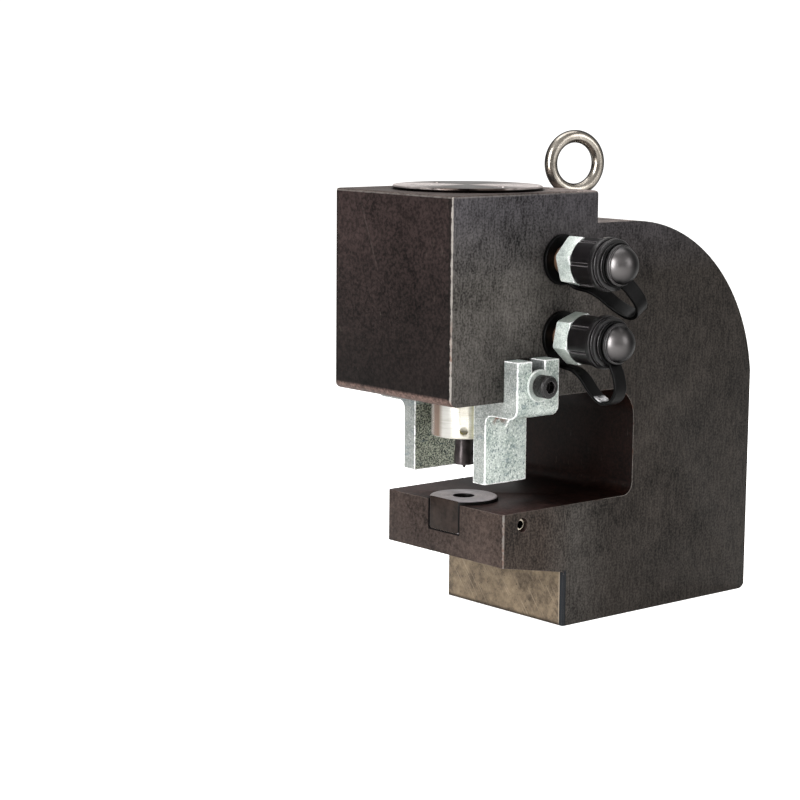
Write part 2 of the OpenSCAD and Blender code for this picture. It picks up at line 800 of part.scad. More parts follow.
// Couplings
module coupling_base(i) {
    along_x(port_x[i], port_y, port_z[i])
    difference() {
        union() {
            translate([0, 0, -port_thread_len]) cylinder(h = port_thread_len + over, d = port_thread_d);
            cylinder(h = hex_out + over, d = neck_d);
            translate([0, 0, hex_out]) rotate([0, 0, -90 - hex_turn[i]]) intersection() {
                hexagon(hex_af, hex_len);
                broken_cylinder(hex_af / 2 / cos(30) + thread_gap, hex_len, hex_edge);
            }
        }
        translate([0, 0, -port_thread_len - over]) cylinder(h = port_thread_len + hex_end, d = passage_d);
        translate([0, 0, chamber_start]) cylinder(h = hex_end, r = chamber_r);
        translate([0, 0, hex_end - spigot_len - seat_gap])
            cylinder(h = spigot_len + seat_gap + over, d = spigot_d + 2 * thread_gap);
    }
}

module coupling_nose(i) {
    along_x(port_x[i], port_y, port_z[i])
    difference() {
        union() {
            translate([0, 0, hex_end - spigot_len]) cylinder(h = spigot_len + over, d = spigot_d);
            translate([0, 0, hex_end + face_gap]) cylinder(h = barrel_end - hex_end - face_gap, r = barrel_r);
            translate([0, 0, barrel_end - over])
                broken_cylinder(nose_d / 2, nose_end - barrel_end + over, nose_edge);
        }
        for (k = [0 : 2]) translate([0, 0, thread_start + thread_pitch * k])
            tube(barrel_r + over, barrel_r - thread_deep, thread_pitch / 2);
        translate([0, 0, chamber_start]) cylinder(h = chamber_end - chamber_start, r = chamber_r);
        translate([0, 0, chamber_start]) cylinder(h = nose_end, r = valve_mouth_r);
    }
}

module valve_guide(i) {
    along_x(port_x[i], port_y, port_z[i]) translate([0, 0, chamber_start])
    difference() {
        cylinder(h = guide_disc_t, r = chamber_r - 0.02);
        translate([0, 0, -over]) cylinder(h = guide_disc_t + 2 * over, r = stem_r + run_gap);
        for (k = [0 : 3]) rotate([0, 0, 90 * k]) translate([4.7, 0, -over])
            cylinder(h = guide_disc_t + 2 * over, r = 1.3);
    }
}

module valve(i) {
    along_x(port_x[i], port_y, port_z[i])
    difference() {
        union() {
            translate([0, 0, chamber_start + 1]) cylinder(h = valve_cone_x - chamber_start - 2, r = stem_r);
            translate([0, 0, valve_cone_x - valve_head_t]) cylinder(h = valve_head_t, r = valve_head_r);
            translate([0, 0, valve_cone_x])
                cylinder(h = valve_cone_h, r1 = valve_head_r, r2 = valve_cone_tip_r);
            translate([0, 0, valve_cone_x]) cylinder(h = valve_tip_x - valve_cone_x, r = valve_tip_r);
        }
        translate([0, 0, valve_groove_x]) tube(valve_head_r + over, valve_groove_r, valve_groove_t);
    }
}

module valve_seal(i) {
    along_x(port_x[i], port_y, port_z[i])
        translate([0, 0, valve_groove_x + seal_gap])
        tube(valve_head_r + 0.4, valve_groove_r + seal_gap, valve_groove_t - 2 * seal_gap);
}

// One unbroken wire: a ring of points for each step along the helix
module spring_wire() {
    steps = spring_curls * spring_rings;
    rings = [for (k = [0 : steps])
        helix_ring(spring_mean_r, spring_start, spring_end, spring_curls, k / steps,
            spring_wire_r, spring_sides)];
    last = steps * spring_sides;
    walls = [for (k = [0 : steps - 1], j = [0 : spring_sides - 1])
        let (a = k * spring_sides + j, b = k * spring_sides + (j + 1) % spring_sides)
        each [[a, b, b + spring_sides], [a, b + spring_sides, a + spring_sides]]];
    ends = [for (j = [1 : spring_sides - 2])
        each [[0, j + 1, j], [last, last + j, last + j + 1]]];
    polyhedron(points = [for (r = rings) each r], faces = concat(walls, ends));
}

module valve_spring(i) {
    along_x(port_x[i], port_y, port_z[i]) spring_wire();
}

// Least gap between the spring's neighbouring curls
spring_points = [for (k = [0 : spring_curls * spring_rings])
    helix_point(spring_mean_r, spring_start, spring_end, spring_curls, k / (spring_curls * spring_rings))];
spring_gap = min([for (a = [0 : len(spring_points) - 1], b = [a + spring_rings / 2 : len(spring_points) - 1])
    norm(spring_points[a] - spring_points[b])]) - 2 * spring_wire_r;
echo(spring_gap = spring_gap);

// Dust caps
module cap_profile() {
    difference() {
        union() {
            polygon([
                [0, cap_start], [skirt_d / 2 - cap_edge, cap_start], [skirt_d / 2, cap_start + cap_edge],
                [skirt_d / 2, rim_start], [rim_d / 2 - cap_edge, rim_start],
                [rim_d / 2, rim_start + cap_edge], [rim_d / 2, rim_end - cap_edge],
                [rim_d / 2 - cap_edge, rim_end], [step_r, rim_end],
                [step_r, collar_start], [collar_r - cap_edge, collar_start],
                [collar_r, collar_start + cap_edge], [collar_r, collar_end - cap_edge],
                [collar_r - cap_edge, collar_end], [flange_r, collar_end],
                [flange_r, strap_seat_start], [strap_seat_r, strap_seat_start],
                [strap_seat_r, strap_seat_end], [bead_r - cap_edge, strap_seat_end],
                [bead_r, strap_seat_end + cap_edge], [bead_r, bead_end - cap_edge],
                [bead_r - cap_edge, bead_end], [0, bead_end]
            ]);
            intersection() {
                translate([0, dome_end - dome_ball_r]) circle(dome_ball_r);
                translate([0, bead_end - over]) square([dome_d / 2, dome_end - bead_end + over - dome_flat]);
            }
        }
        translate([-over, cap_start - over])
            square([barrel_r + seat_gap + over, barrel_end - cap_start + over + seat_gap]);
        translate([-over, cap_start]) square([nose_d / 2 + 0.5 + over, nose_end - cap_start + seat_gap]);
    }
}

module dust_cap(i) {
    along_x(port_x[i], port_y, port_z[i])
    difference() {
        rotate_extrude() cap_profile();
        for (k = [0 : cap_grooves - 1]) rotate([0, 0, -90 - cap_turn[i] + 360 * k / cap_grooves])
            translate([skirt_d / 2 - cap_groove_deep, -cap_groove_w / 2, cap_start - over])
                cube([skirt_d, cap_groove_w, rim_start - cap_start - cap_groove_end + over]);
    }
}

module cap_strap(i) {
    path = smooth_route(strap_route, strap_steps);
    translate([port_x[i], port_y, port_z[i]]) {
        rotate([i == 0 ? strap_tilt : 0, 0, 0]) translate([0, strap_w / 2, 0]) rotate([90, 0, 0])
            linear_extrude(strap_w) polygon(ribbon_outline(path, strap_t));
        translate([side_x - port_x[i] + seat_gap, 0, 0]) rotate([0, 90, 0])
            tube(strap_ring_d / 2, neck_d / 2 + seat_gap, strap_ring_t);
        translate([strap_eye_x - strap_eye_t / 2, 0, 0]) rotate([0, 90, 0])
            tube(strap_eye_d / 2, strap_seat_r + seat_gap, strap_eye_t);
    }
}

module coupling_base_upper() { color("#c4c8c0") coupling_base(0); }
module coupling_base_lower() { color("#c4c8c0") coupling_base(1); }
module coupling_nose_upper() { color("#b9bdb5") coupling_nose(0); }
module coupling_nose_lower() { color("#b9bdb5") coupling_nose(1); }
module valve_guide_upper() { color("#a8a070") valve_guide(0); }
module valve_guide_lower() { color("#a8a070") valve_guide(1); }
module valve_upper() { color("#b5a76a") valve(0); }
module valve_lower() { color("#b5a76a") valve(1); }
module valve_seal_upper() { color("#202020") valve_seal(0); }
module valve_seal_lower() { color("#202020") valve_seal(1); }
module valve_spring_upper() { color("#9a9a9a") valve_spring(0); }
module valve_spring_lower() { color("#9a9a9a") valve_spring(1); }
module dust_cap_upper() { color("#232225") dust_cap(0); }
module dust_cap_lower() { color("#232225") dust_cap(1); }
module cap_strap_upper() { color("#1b1a1d") cap_strap(0); }
module cap_strap_lower() { color("#1b1a1d") cap_strap(1); }

frame();
cylinder_plug();
plug_o_ring();
ram();
piston_seal();
piston_guide_ring();
gland_bush();
gland_o_ring();
rod_seal();
rod_wiper();
punch_nut();
punch();
die();
die_lock_screw();
stripper_right();
stripper_left();
stripper_washers();
stripper_screws();
lifting_eye();
coupling_base_upper();
coupling_base_lower();
coupling_nose_upper();
coupling_nose_lower();
valve_guide_upper();
valve_guide_lower();
valve_upper();
valve_lower();
valve_seal_upper();
valve_seal_lower();
valve_spring_upper();
valve_spring_lower();
dust_cap_upper();
dust_cap_lower();
cap_strap_upper();
cap_strap_lower();
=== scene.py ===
# Looks of the hydraulic hole punch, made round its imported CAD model.
# Metres, in the CAD frame: Z is up, the jaw and head are at the -Y end, the oil couplings point along +X.

import math

import bpy
from mathutils import Matrix, Vector


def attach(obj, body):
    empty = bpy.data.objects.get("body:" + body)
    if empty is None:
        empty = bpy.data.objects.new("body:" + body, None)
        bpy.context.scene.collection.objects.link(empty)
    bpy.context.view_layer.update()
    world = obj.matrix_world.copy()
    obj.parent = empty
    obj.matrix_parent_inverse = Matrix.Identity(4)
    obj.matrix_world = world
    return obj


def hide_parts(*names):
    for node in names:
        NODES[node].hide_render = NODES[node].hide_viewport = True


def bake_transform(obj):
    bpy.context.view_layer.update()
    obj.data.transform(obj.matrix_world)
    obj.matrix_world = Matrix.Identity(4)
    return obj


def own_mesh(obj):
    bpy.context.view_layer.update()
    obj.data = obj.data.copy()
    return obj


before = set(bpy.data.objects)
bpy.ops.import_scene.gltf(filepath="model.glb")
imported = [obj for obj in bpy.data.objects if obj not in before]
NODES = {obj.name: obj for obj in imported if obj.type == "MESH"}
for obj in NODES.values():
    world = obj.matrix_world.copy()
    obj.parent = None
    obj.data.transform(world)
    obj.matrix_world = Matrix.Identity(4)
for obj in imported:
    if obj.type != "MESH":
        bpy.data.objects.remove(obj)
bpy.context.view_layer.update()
MM = 0.001

# Places and sizes of the CAD model, in millimetres
SIDE_X = 62.5
PUNCH_Y = -140.0
EYE_Y = -34.0
PORT_Y = -107.0
PORTS = {"upper": (63.3, 265.5), "lower": (61.7, 211.5)}
CAP_TURNS = {"upper": 0.0, "lower": -24.0}
STRAP_TURNS = {"upper": 32.0, "lower": 0.0}
EYE_RING_Z = 329.0
EYE_SEAT_Z = 288.8
EYE_TURN = -16.0
DIE_SCREW_Z = 79.7
DOME_R, DOME_H, DOME_TIP = 13.0, 9.0, 68.95
CLAMP_Z = 180.5
STRIPPER_FACE_X = 76.0
WASHER_T = 2.0

# Tones of the frame's steel, face by face, partly the scale's own colour and partly painted light and shade, with
# a painted shade for the throat; and the painted grey shine of the caps' domes
HEAD_SIDE, COLUMN, JAW_SIDE = "4b4845", "302c29", "423a35"
HEAD_FRONT, HEAD_FRONT_LEFT = "1f1817", "251d1c"
HEAD_TOP, HEAD_TOP_REAR, LIP, THROAT_SHADE = "403835", "9a8e8a", "4e3f3a", "120806"
HEAD_SIDE_HIGH, HEAD_FRONT_LOW = "403e42", "120e0d"
JAW_FRONT, JAW_FRONT_RIGHT, JAW_TOP = "332b28", "382f2b", "382a28"
BASE_DARK, BASE_LIGHT, WORN, RUST = "4a4138", "867763", "8f8a85", "6b4430"
DOME = "686565"

# Where masks start and end, in metres or as a share; the first value may be the larger one
SQUARE_ON = (0.55, 0.75)
BELOW_THROAT = (0.0945, 0.0925)
COLUMN_TO_HEAD = (-0.05, -0.13)
AT_HEAD_FRONT = (-0.2, -0.205)
AT_JAW_TIP = (-0.1583, -0.1587)
DOME_FROM = (0.121, 0.1225)

# The scratch on the head's front: a place on it in x and z, the direction across it, and its strength
SCRATCH_START = (-0.035, 0.307)
SCRATCH_ACROSS = (0.927, 0.375)
SCRATCH_SHARE = 0.05

# Level direction from the machine's left front to its right rear, as x and y
SIDEWAYS = (0.648, 0.762)
# Glow of the floor as the camera sees it, and strength of the white tent as light
FLOOR_GLOW = 0.8
TENT_LIGHT, TENT_SHADE = 0.52, 0.49


# ---------------------------------------------------------------- making pieces

def deselect():
    if bpy.context.object and bpy.context.object.mode != "OBJECT":
        bpy.ops.object.mode_set(mode="OBJECT")
    bpy.ops.object.select_all(action="DESELECT")


def choose(piece):
    """Makes one piece the only selected one, and the active one."""
    deselect()
    piece.select_set(True)
    bpy.context.view_layer.objects.active = piece


def edit(piece):
    choose(piece)
    bpy.ops.object.mode_set(mode="EDIT")
    bpy.ops.mesh.select_all(action="SELECT")


def leave_edit():
    bpy.ops.object.mode_set(mode="OBJECT")


def settle(piece):
    """Puts a piece's place and turn into its mesh."""
    choose(piece)
    bpy.ops.object.transform_apply(location=True, rotation=True, scale=True)
    return piece


def apply_all(piece):
    choose(piece)
    for modifier in list(piece.modifiers):
        bpy.ops.object.modifier_apply(modifier=modifier.name)
    return piece


def smooth(piece, angle=35):
    choose(piece)
    bpy.ops.object.shade_smooth_by_angle(angle=math.radians(angle))
    return piece


def break_edges(piece, width, segments=2, angle=30):
    """Rounds every edge sharper than the angle by the width, in millimetres."""
    bevel = piece.modifiers.new("broken edges", "BEVEL")
    bevel.width = width * MM
    bevel.segments = segments
    bevel.limit_method = "ANGLE"
    bevel.angle_limit = math.radians(angle)
    return apply_all(piece)


def outward(piece):
    edit(piece)
    bpy.ops.mesh.remove_doubles(threshold=0.002 * MM)
    bpy.ops.mesh.select_all(action="SELECT")
    bpy.ops.mesh.normals_make_consistent(inside=False)
    leave_edit()
    return piece


def turned(name, profile, sides=96, ring=False):
    """A piece turned round Z from (radius, height) pairs; a ring's profile comes back to its first point."""
    deselect()
    radius, height = profile[0]
    bpy.ops.mesh.primitive_circle_add(vertices=sides, radius=radius * MM, location=(0, 0, height * MM))
    piece = settle(bpy.context.object)
    piece.name = piece.data.name = name
    edit(piece)
    for (r0, z0), (r1, z1) in zip(profile, profile[1:]):
        bpy.ops.mesh.extrude_region_move(TRANSFORM_OT_translate={"value": (0, 0, (z1 - z0) * MM)})
        if r1 != r0:
            bpy.ops.transform.resize(value=(r1 / r0, r1 / r0, 1), center_override=(0, 0, z1 * MM))
    if ring:
        bpy.ops.mesh.select_all(action="SELECT")
        bpy.ops.mesh.remove_doubles(threshold=0.002 * MM)
    else:
        bpy.ops.mesh.edge_face_add()
        bpy.ops.mesh.select_all(action="DESELECT")
        bpy.ops.mesh.select_mode(type="EDGE")
        bpy.ops.mesh.select_non_manifold()
        bpy.ops.mesh.edge_face_add()
        bpy.ops.mesh.select_mode(type="VERT")
    leave_edit()
    return outward(piece)


def place(piece, where, turn=(0, 0, 0)):
    """Turns a finished piece and moves it, in millimetres and degrees."""
    piece.rotation_euler = [math.radians(a) for a in turn]
    piece.location = [v * MM for v in where]
    return settle(piece)


def along_x(piece, where):
    return place(piece, where, (0, 90, 0))


def prism(name, sides, radius, length, z=0.0, turn=0.0):
    """A bar with flat sides along Z, from z up."""
    deselect()
    bpy.ops.mesh.primitive_cylinder_add(
        vertices=sides, radius=radius * MM, depth=length * MM,
        location=(0, 0, (z + length / 2) * MM), rotation=(0, 0, math.radians(turn)))
    piece = settle(bpy.context.object)
    piece.name = piece.data.name = name
    return piece


def block(name, low, high):
    deselect()
    middle = [(a + b) / 2 * MM for a, b in zip(low, high)]
    bpy.ops.mesh.primitive_cube_add(size=1, location=middle)
    piece = bpy.context.object
    piece.scale = [(b - a) * MM for a, b in zip(low, high)]
    piece.name = piece.data.name = name
    return settle(piece)


def join(first, *others):
    deselect()
    for piece in (first, *others):
        piece.select_set(True)
    bpy.context.view_layer.objects.active = first
    bpy.ops.object.join()
    return first


def cut(piece, cutter):
    boolean = piece.modifiers.new("cut", "BOOLEAN")
    boolean.operation = "DIFFERENCE"
    boolean.solver = "EXACT"
    boolean.object = cutter
    apply_all(piece)
    bpy.data.objects.remove(cutter)
    return piece


def moulded(piece, voxel, rounds):
    """One closed skin round overlapping shapes, with its edges and corners worn round."""
    remesh = piece.modifiers.new("skin", "REMESH")
    remesh.mode = "VOXEL"
    remesh.voxel_size = voxel * MM
    soften = piece.modifiers.new("soften", "SMOOTH")
    soften.factor = 0.5
    soften.iterations = rounds
    return apply_all(piece)


def fitted_copy(node, name):
    """A copy of a CAD node whose triangles are merged into whole faces."""
    deselect()
    piece = NODES[node].copy()
    piece.data = NODES[node].data.copy()
    piece.name = piece.data.name = name
    bpy.context.collection.objects.link(piece)
    piece.parent = None
    piece.matrix_world = Matrix.Identity(4)
    piece.data.materials.clear()
    for key in list(piece.keys()):
        del piece[key]
    choose(piece)
    bpy.ops.mesh.customdata_custom_splitnormals_clear()
    edit(piece)
    bpy.ops.mesh.remove_doubles(threshold=0.002 * MM)
    bpy.ops.mesh.dissolve_limited(angle_limit=math.radians(0.4), use_dissolve_boundaries=False)
    leave_edit()
    return piece


def stand_for(piece, body, slot, *nodes):
    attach(piece, body)
    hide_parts(*nodes)
    return piece


# ---------------------------------------------------------------- pieces

def refined(node, name, body, slot, width, angle=35):
    """A CAD node's own shape with its edges broken by the width, standing for that node."""
    piece = fitted_copy(node, name)
    break_edges(piece, width)
    smooth(piece, angle)
    return stand_for(piece, body, slot, node)


def make_punch():
    """Cutting edge, centre pip and relieved shank, up into its head inside the nut."""
    tool = turned("round_punch", [
        (0.3, 112.0), (0.62, 112.05), (1.5, 114.0), (1.5, 115.0), (7.1, 115.0), (7.3, 115.2), (7.3, 124.0),
        (6.8, 126.0), (6.8, 142.7), (7.3, 144.6), (15.3, 144.7), (15.5, 144.9), (15.5, 151.7), (15.3, 151.9)
    ])
    place(tool, (0, PUNCH_Y, 0))
    smooth(tool)
    return stand_for(tool, "body_ram", "tool_steel", "punch")


def make_stripper(side):
    """A rough zinc plated casting: the CAD shape with worn edges and a sandy skin."""
    piece = fitted_copy("stripper_" + side, "cast_stripper_" + side)
    break_edges(piece, 1.1, segments=3, angle=40)
    moulded(piece, 0.62, 3)
    sand = bpy.data.textures.new("casting sand " + side, "CLOUDS")
    sand.noise_scale = 1.7 * MM
    sand.noise_depth = 2
    rough = piece.modifiers.new("casting skin", "DISPLACE")
    rough.texture = sand
    rough.texture_coords = "LOCAL"
    rough.strength = 0.34 * MM
    rough.mid_level = 0.75
    apply_all(piece)
    smooth(piece, 60)
    return stand_for(piece, "body_stripper_" + side, "stripper_casting", "stripper_" + side)


def make_washers():
    both = []
    for sign in (1, -1):
        washer = turned("clamp_washers", [
            (5.5, 0.3), (5.7, 0.02), (11.2, 0.02), (11.5, 0.25), (11.5, 1.55), (11.1, 1.95), (5.9, 1.95),
            (5.5, 1.6), (5.5, 0.3)], ring=True)
        place(washer, (sign * STRIPPER_FACE_X, PUNCH_Y, CLAMP_Z), (0, 90 * sign, 0))
        both.append(washer)
    washers = smooth(join(*both))
    return stand_for(washers, "body_frame", "washer_zinc", "stripper_washers")


def make_clamp_screws():
    """Cap screws: straight knurl round the head, hexagon socket, flat face with a rounded rim."""
    both = []
    for sign in (1, -1):
        screw = turned("clamp_screws", [
            (4.2, -33.3), (4.95, -32.5), (4.95, 0.01), (7.6, 0.01), (8.0, 0.4), (8.0, 8.9), (7.2, 9.8),
            (6.5, 10.0), (0.3, 10.0)], sides=120)
        edit(screw)
        bpy.ops.mesh.select_all(action="DESELECT")
        leave_edit()
        for vertex in screw.data.vertices:
            x, y, z = (v / MM for v in vertex.co)
            step = round(math.degrees(math.atan2(y, x)) / 3)
            vertex.select = math.hypot(x, y) > 7.9 and 0.3 < z < 9.0 and step % 2 == 0
        choose(screw)
        bpy.ops.object.mode_set(mode="EDIT")
        bpy.ops.transform.resize(value=(0.978, 0.978, 1), center_override=(0, 0, 0))
        leave_edit()
        cut(screw, prism("socket", 6, 4.62, 8, z=5.0, turn=12))
        break_edges(screw, 0.12, segments=1, angle=40)
        place(screw, (sign * (STRIPPER_FACE_X + WASHER_T), PUNCH_Y, CLAMP_Z), (0, 90 * sign, 0))
        both.append(screw)
    screws = smooth(join(*both), 25)
    return stand_for(screws, "body_frame", "screw_black", "stripper_screws")


def make_lifting_eye():
    """A forged ring that flows through its neck into a round seat."""
    deselect()
    bpy.ops.mesh.primitive_torus_add(
        major_radius=19.7 * MM, minor_radius=4.75 * MM, major_segments=128, minor_segments=40,
        location=(0, 0, EYE_RING_Z * MM), rotation=(0, math.radians(90), 0))
    ring = settle(bpy.context.object)
    ring.name = ring.data.name = "forged_lifting_eye"
    stem = turned("stem", [
        (5.2, 265.5), (5.9, 266.2), (5.9, EYE_SEAT_Z + 0.5), (13.6, EYE_SEAT_Z + 0.02),
        (14.0, EYE_SEAT_Z + 0.5), (14.0, 294.4), (13.2, 295.3), (10.6, 295.8), (8.6, 297.4), (7.2, 300.5),
        (6.2, 304.5), (5.4, 308.0), (4.8, 309.3), (0.5, 309.4)])
    eye = moulded(join(ring, stem), 0.45, 6)
    place(eye, (0, EYE_Y, 0), (0, 0, EYE_TURN))
    smooth(eye, 70)
    return stand_for(eye, "body_frame", "eye_steel", "lifting_eye")


def make_valve_spring(level):
    """A coil spring copied from the CAD node onto a mesh of its own; the real one shortens towards its fixed end
    as the valve is pressed in.
    """
    spring = fitted_copy("valve_spring_" + level, "coil_spring_" + level)
    smooth(spring, 60)
    stand_for(spring, "body_frame", "spring_steel", "valve_spring_" + level)
    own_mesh(spring)
    return spring


def cap_profile():
    """Half section of a dust cap, from the floor of its nose pocket out, along and over the dome."""
    ball_r = (DOME_R ** 2 + DOME_H ** 2) / (2 * DOME_H)
    middle = DOME_TIP - ball_r
    dome = []
    for i in range(15):
        angle = math.radians(69.4 * (1 - i / 14) + 1.3 * i / 14)
        dome.append((ball_r * math.sin(angle), middle + ball_r * math.cos(angle)))
    return [
        (0.3, 49.3), (10.2, 49.3), (10.2, 42.3), (13.7, 42.3), (13.7, 25.3), (14.0, 25.0), (16.9, 25.0),
        (17.3, 25.4), (17.3, 43.5), (18.4, 43.5), (18.8, 43.9), (18.8, 47.4), (18.3, 47.9), (16.8, 47.9),
        (16.6, 50.1), (17.6, 50.1), (18.0, 50.5), (18.0, 52.1), (17.5, 52.6), (14.8, 52.6), (14.8, 53.4),
        (13.2, 53.4), (13.2, 56.2), (13.9, 56.2), (14.3, 56.6), (14.3, 57.9), (13.9, 58.4), (13.0, 58.4),
        (12.8, 59.4)] + dome


def make_dust_cap(level):
    """A turned cap with six grooves along its skirt, a broad rim, a collar, a bead and a dome."""
    cap = turned("turned_cap_" + level, cap_profile(), sides=128)
    cutters = []
    for k in range(6):
        groove = block("groove", (16.25, -1.1, 24.0), (20.0, 1.1, 42.9))
        place(groove, (0, 0, 0), (0, 0, -90 - CAP_TURNS[level] + 60 * k))
        cutters.append(groove)
    cut(cap, join(*cutters))
    break_edges(cap, 0.18)
    x, z = PORTS[level]
    along_x(cap, (x, PORT_Y, z))
    smooth(cap, 32)
    return stand_for(cap, "body_cap_" + level, "cap_black", "dust_cap_" + level)


STRAP_ROUTE = [
    (1.8, -16.4), (5.5, -19.8), (11, -21.2), (18, -22.2), (26, -26.5), (36, -36), (47, -42), (56, -39.5),
    (60.5, -32), (58.8, -22.5), (54.8, -14.6)]


def smooth_route(route, steps):
    """Points of a curve through every point of the route."""
    def at(i):
        return Vector(route[max(0, min(len(route) - 1, i))])
    points = []
    for i in range(len(route) - 1):
        a, b, c, d = at(i - 1), at(i), at(i + 1), at(i + 2)
        for s in range(steps):
            t = s / steps
            points.append(0.5 * (2 * b + (c - a) * t + (2 * a - 5 * b + 4 * c - d) * t * t
                                 + (3 * b - a - 3 * c + d) * t * t * t))
    return points + [at(len(route) - 1)]


def make_strap(level):
    """A moulded rubber strap: a ring behind the hexagon, a bowed ribbon, and an eye round the cap."""
    path = smooth_route(STRAP_ROUTE, 8)
    curve = bpy.data.curves.new("strap", "CURVE")
    curve.dimensions = "2D"
    curve.extrude = 5.5 * MM
    line = curve.splines.new("POLY")
    line.points.add(len(path) - 1)
    for point, place_on_path in zip(line.points, path):
        point.co = (place_on_path.x * MM, place_on_path.y * MM, 0, 1)
    ribbon = bpy.data.objects.new("rubber_strap_" + level, curve)
    bpy.context.collection.objects.link(ribbon)
    choose(ribbon)
    bpy.ops.object.convert(target="MESH")
    ribbon = bpy.context.object
    ribbon.data.name = ribbon.name
    outward(ribbon)
    thick = ribbon.modifiers.new("thickness", "SOLIDIFY")
    thick.thickness = 2.4 * MM
    thick.offset = 0
    apply_all(ribbon)
    place(ribbon, (0, 0, 0), (90, 0, 0))
    place(ribbon, (0, 0, 0), (STRAP_TURNS[level], 0, 0))
    x, z = PORTS[level]
    ring_x = SIDE_X + 0.3 - x
    ring = turned("ring", [(10.3, 0), (18.0, 0), (18.0, 3.0), (10.3, 3.0), (10.3, 0)], ring=True)
    along_x(ring, (ring_x, 0, 0))
    eye = turned("eye", [(13.5, 0), (15.7, 0), (15.7, 2.2), (13.5, 2.2), (13.5, 0)], ring=True)
    along_x(eye, (53.7, 0, 0))
    strap = moulded(join(ribbon, ring, eye), 0.4, 4)
    place(strap, (x, PORT_Y, z))
    smooth(strap, 60)
    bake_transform(strap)
    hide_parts("cap_strap_" + level)
    return strap


# ---------------------------------------------------------------- node groups

class Wiring:
    """Short names for adding nodes to a tree and joining them."""

    def __init__(self, tree):
        self.tree = tree

    def node(self, kind, **settings):
        made = self.tree.nodes.new("ShaderNode" + kind if not kind.startswith("Node") else kind)
        for key, value in settings.items():
            setattr(made, key, value)
        return made

    def feed(self, socket, value):
        if hasattr(value, "is_output"):
            self.tree.links.new(value, socket)
        elif value is not None:
            socket.default_value = value

    def math(self, operation, a, b=None, clamp=False):
        made = self.node("Math", operation=operation, use_clamp=clamp)
        self.feed(made.inputs[0], a)
        self.feed(made.inputs[1], b)
        return made.outputs[0]

    def times(self, *factors, clamp=False):
        product = factors[0]
        for factor in factors[1:]:
            product = self.math("MULTIPLY", product, factor, clamp)
        return product

    def plus(self, *parts, clamp=False):
        total = parts[0]
        for part in parts[1:]:
            total = self.math("ADD", total, part, clamp)
        return total

    def minus(self, a, b):
        return self.math("SUBTRACT", a, b)

    def flip(self, share):
        """0 becomes 1, and 1 becomes 0."""
        return self.minus(1.0, share)

    def size(self, value):
        return self.math("ABSOLUTE", value)

    def reach(self, a, b):
        """Distance from the origin of a point at a and b."""
        return self.math("SQRT", self.plus(self.times(a, a), self.times(b, b)))

    def noise(self, vector, scale, detail=3.0, roughness=0.5):
        made = self.node("TexNoise")
        self.feed(made.inputs["Vector"], vector)
        self.feed(made.inputs["Scale"], scale)
        self.feed(made.inputs["Detail"], detail)
        self.feed(made.inputs["Roughness"], roughness)
        return made.outputs["Fac"]

    def mapping(self, vector, **settings):
        made = self.node("Mapping")
        self.feed(made.inputs["Vector"], vector)
        for label, value in settings.items():
            made.inputs[label].default_value = value
        return made.outputs[0]

    def stretch(self, vector, scale):
        return self.mapping(vector, Scale=scale)

    def ramp(self, value, low, high):
        """0 at low, 1 at high, and even between; low may be the larger one."""
        made = self.node("MapRange")
        self.feed(made.inputs["Value"], value)
        self.feed(made.inputs["From Min"], low)
        self.feed(made.inputs["From Max"], high)
        return made.outputs["Result"]

    def zone(self, value, low, high, soft):
        """1 where the value lies between low and high, with soft borders."""
        rise = self.ramp(value, low - soft, low + soft)
        return self.times(rise, self.ramp(value, high + soft, high - soft))

    def mix(self, kind, share, first, second, **settings):
        made = self.node("Mix", data_type=kind, **settings)
        self.feed(made.inputs["Factor"], share)
        self.feed(made.inputs["A"], first)
        self.feed(made.inputs["B"], second)
        return made.outputs["Result"]

    def blend(self, share, first, second):
        return self.mix("RGBA", share, first, second)

    def blend_value(self, share, first, second):
        return self.mix("FLOAT", share, first, second)

    def paint(self, colour, tone, *masks):
        """Lays a tone over a colour where all the masks meet."""
        return self.blend(self.times(*masks), colour, rgb(tone))

    def tint(self, colour, shade):
        """A colour made lighter or darker by a grey value."""
        grey = self.node("CombineColor")
        for socket in grey.inputs:
            self.feed(socket, shade)
        return self.mix("RGBA", 1.0, colour, grey.outputs[0], blend_type="MULTIPLY")

    def group(self, tree, **values):
        made = self.node("Group")
        made.node_tree = tree
        for label, value in values.items():
            self.feed(made.inputs[label.replace("_", " ")], value)
        return made.outputs

    def place(self):
        return self.node("TexCoord").outputs["Object"]

    def normal(self):
        return self.node("TexCoord").outputs["Normal"]

    def axes(self, vector):
        made = self.node("SeparateXYZ")
        self.feed(made.inputs[0], vector)
        return made.outputs

    def sideways(self, vector):
        """How far a place or a facing lies towards the machine's right rear, from its left front."""
        parts = self.axes(vector)
        return self.plus(self.times(parts[0], SIDEWAYS[0]), self.times(parts[1], SIDEWAYS[1]))

    def edge_on(self):
        """0 where a face looks at the eye, 1 where it is seen on edge."""
        made = self.node("LayerWeight")
        made.inputs["Blend"].default_value = 0.5
        return made.outputs["Facing"]


def rgb(text):
    """A picture colour such as 3b3836 as linear light."""
    parts = [int(text[i:i + 2], 16) / 255 for i in (0, 2, 4)]
    return (*[p / 12.92 if p <= 0.04045 else ((p + 0.055) / 1.055) ** 2.4 for p in parts], 1.0)


def new_group(name, inputs, outputs):
    """An empty node group: its tree, its wiring, its given values and its output node."""
    group = bpy.data.node_groups.new(name, "ShaderNodeTree")
    for label, value in inputs.items():
        kind = "NodeSocketVector" if value is None else "NodeSocketFloat"
        socket = group.interface.new_socket(name=label, in_out="INPUT", socket_type=kind)
        if value is not None:
            socket.default_value = value
    for label in outputs:
        group.interface.new_socket(name=label, in_out="OUTPUT", socket_type="NodeSocketFloat")
    w = Wiring(group)
    return group, w, w.node("NodeGroupInput").outputs, w.node("NodeGroupOutput").inputs


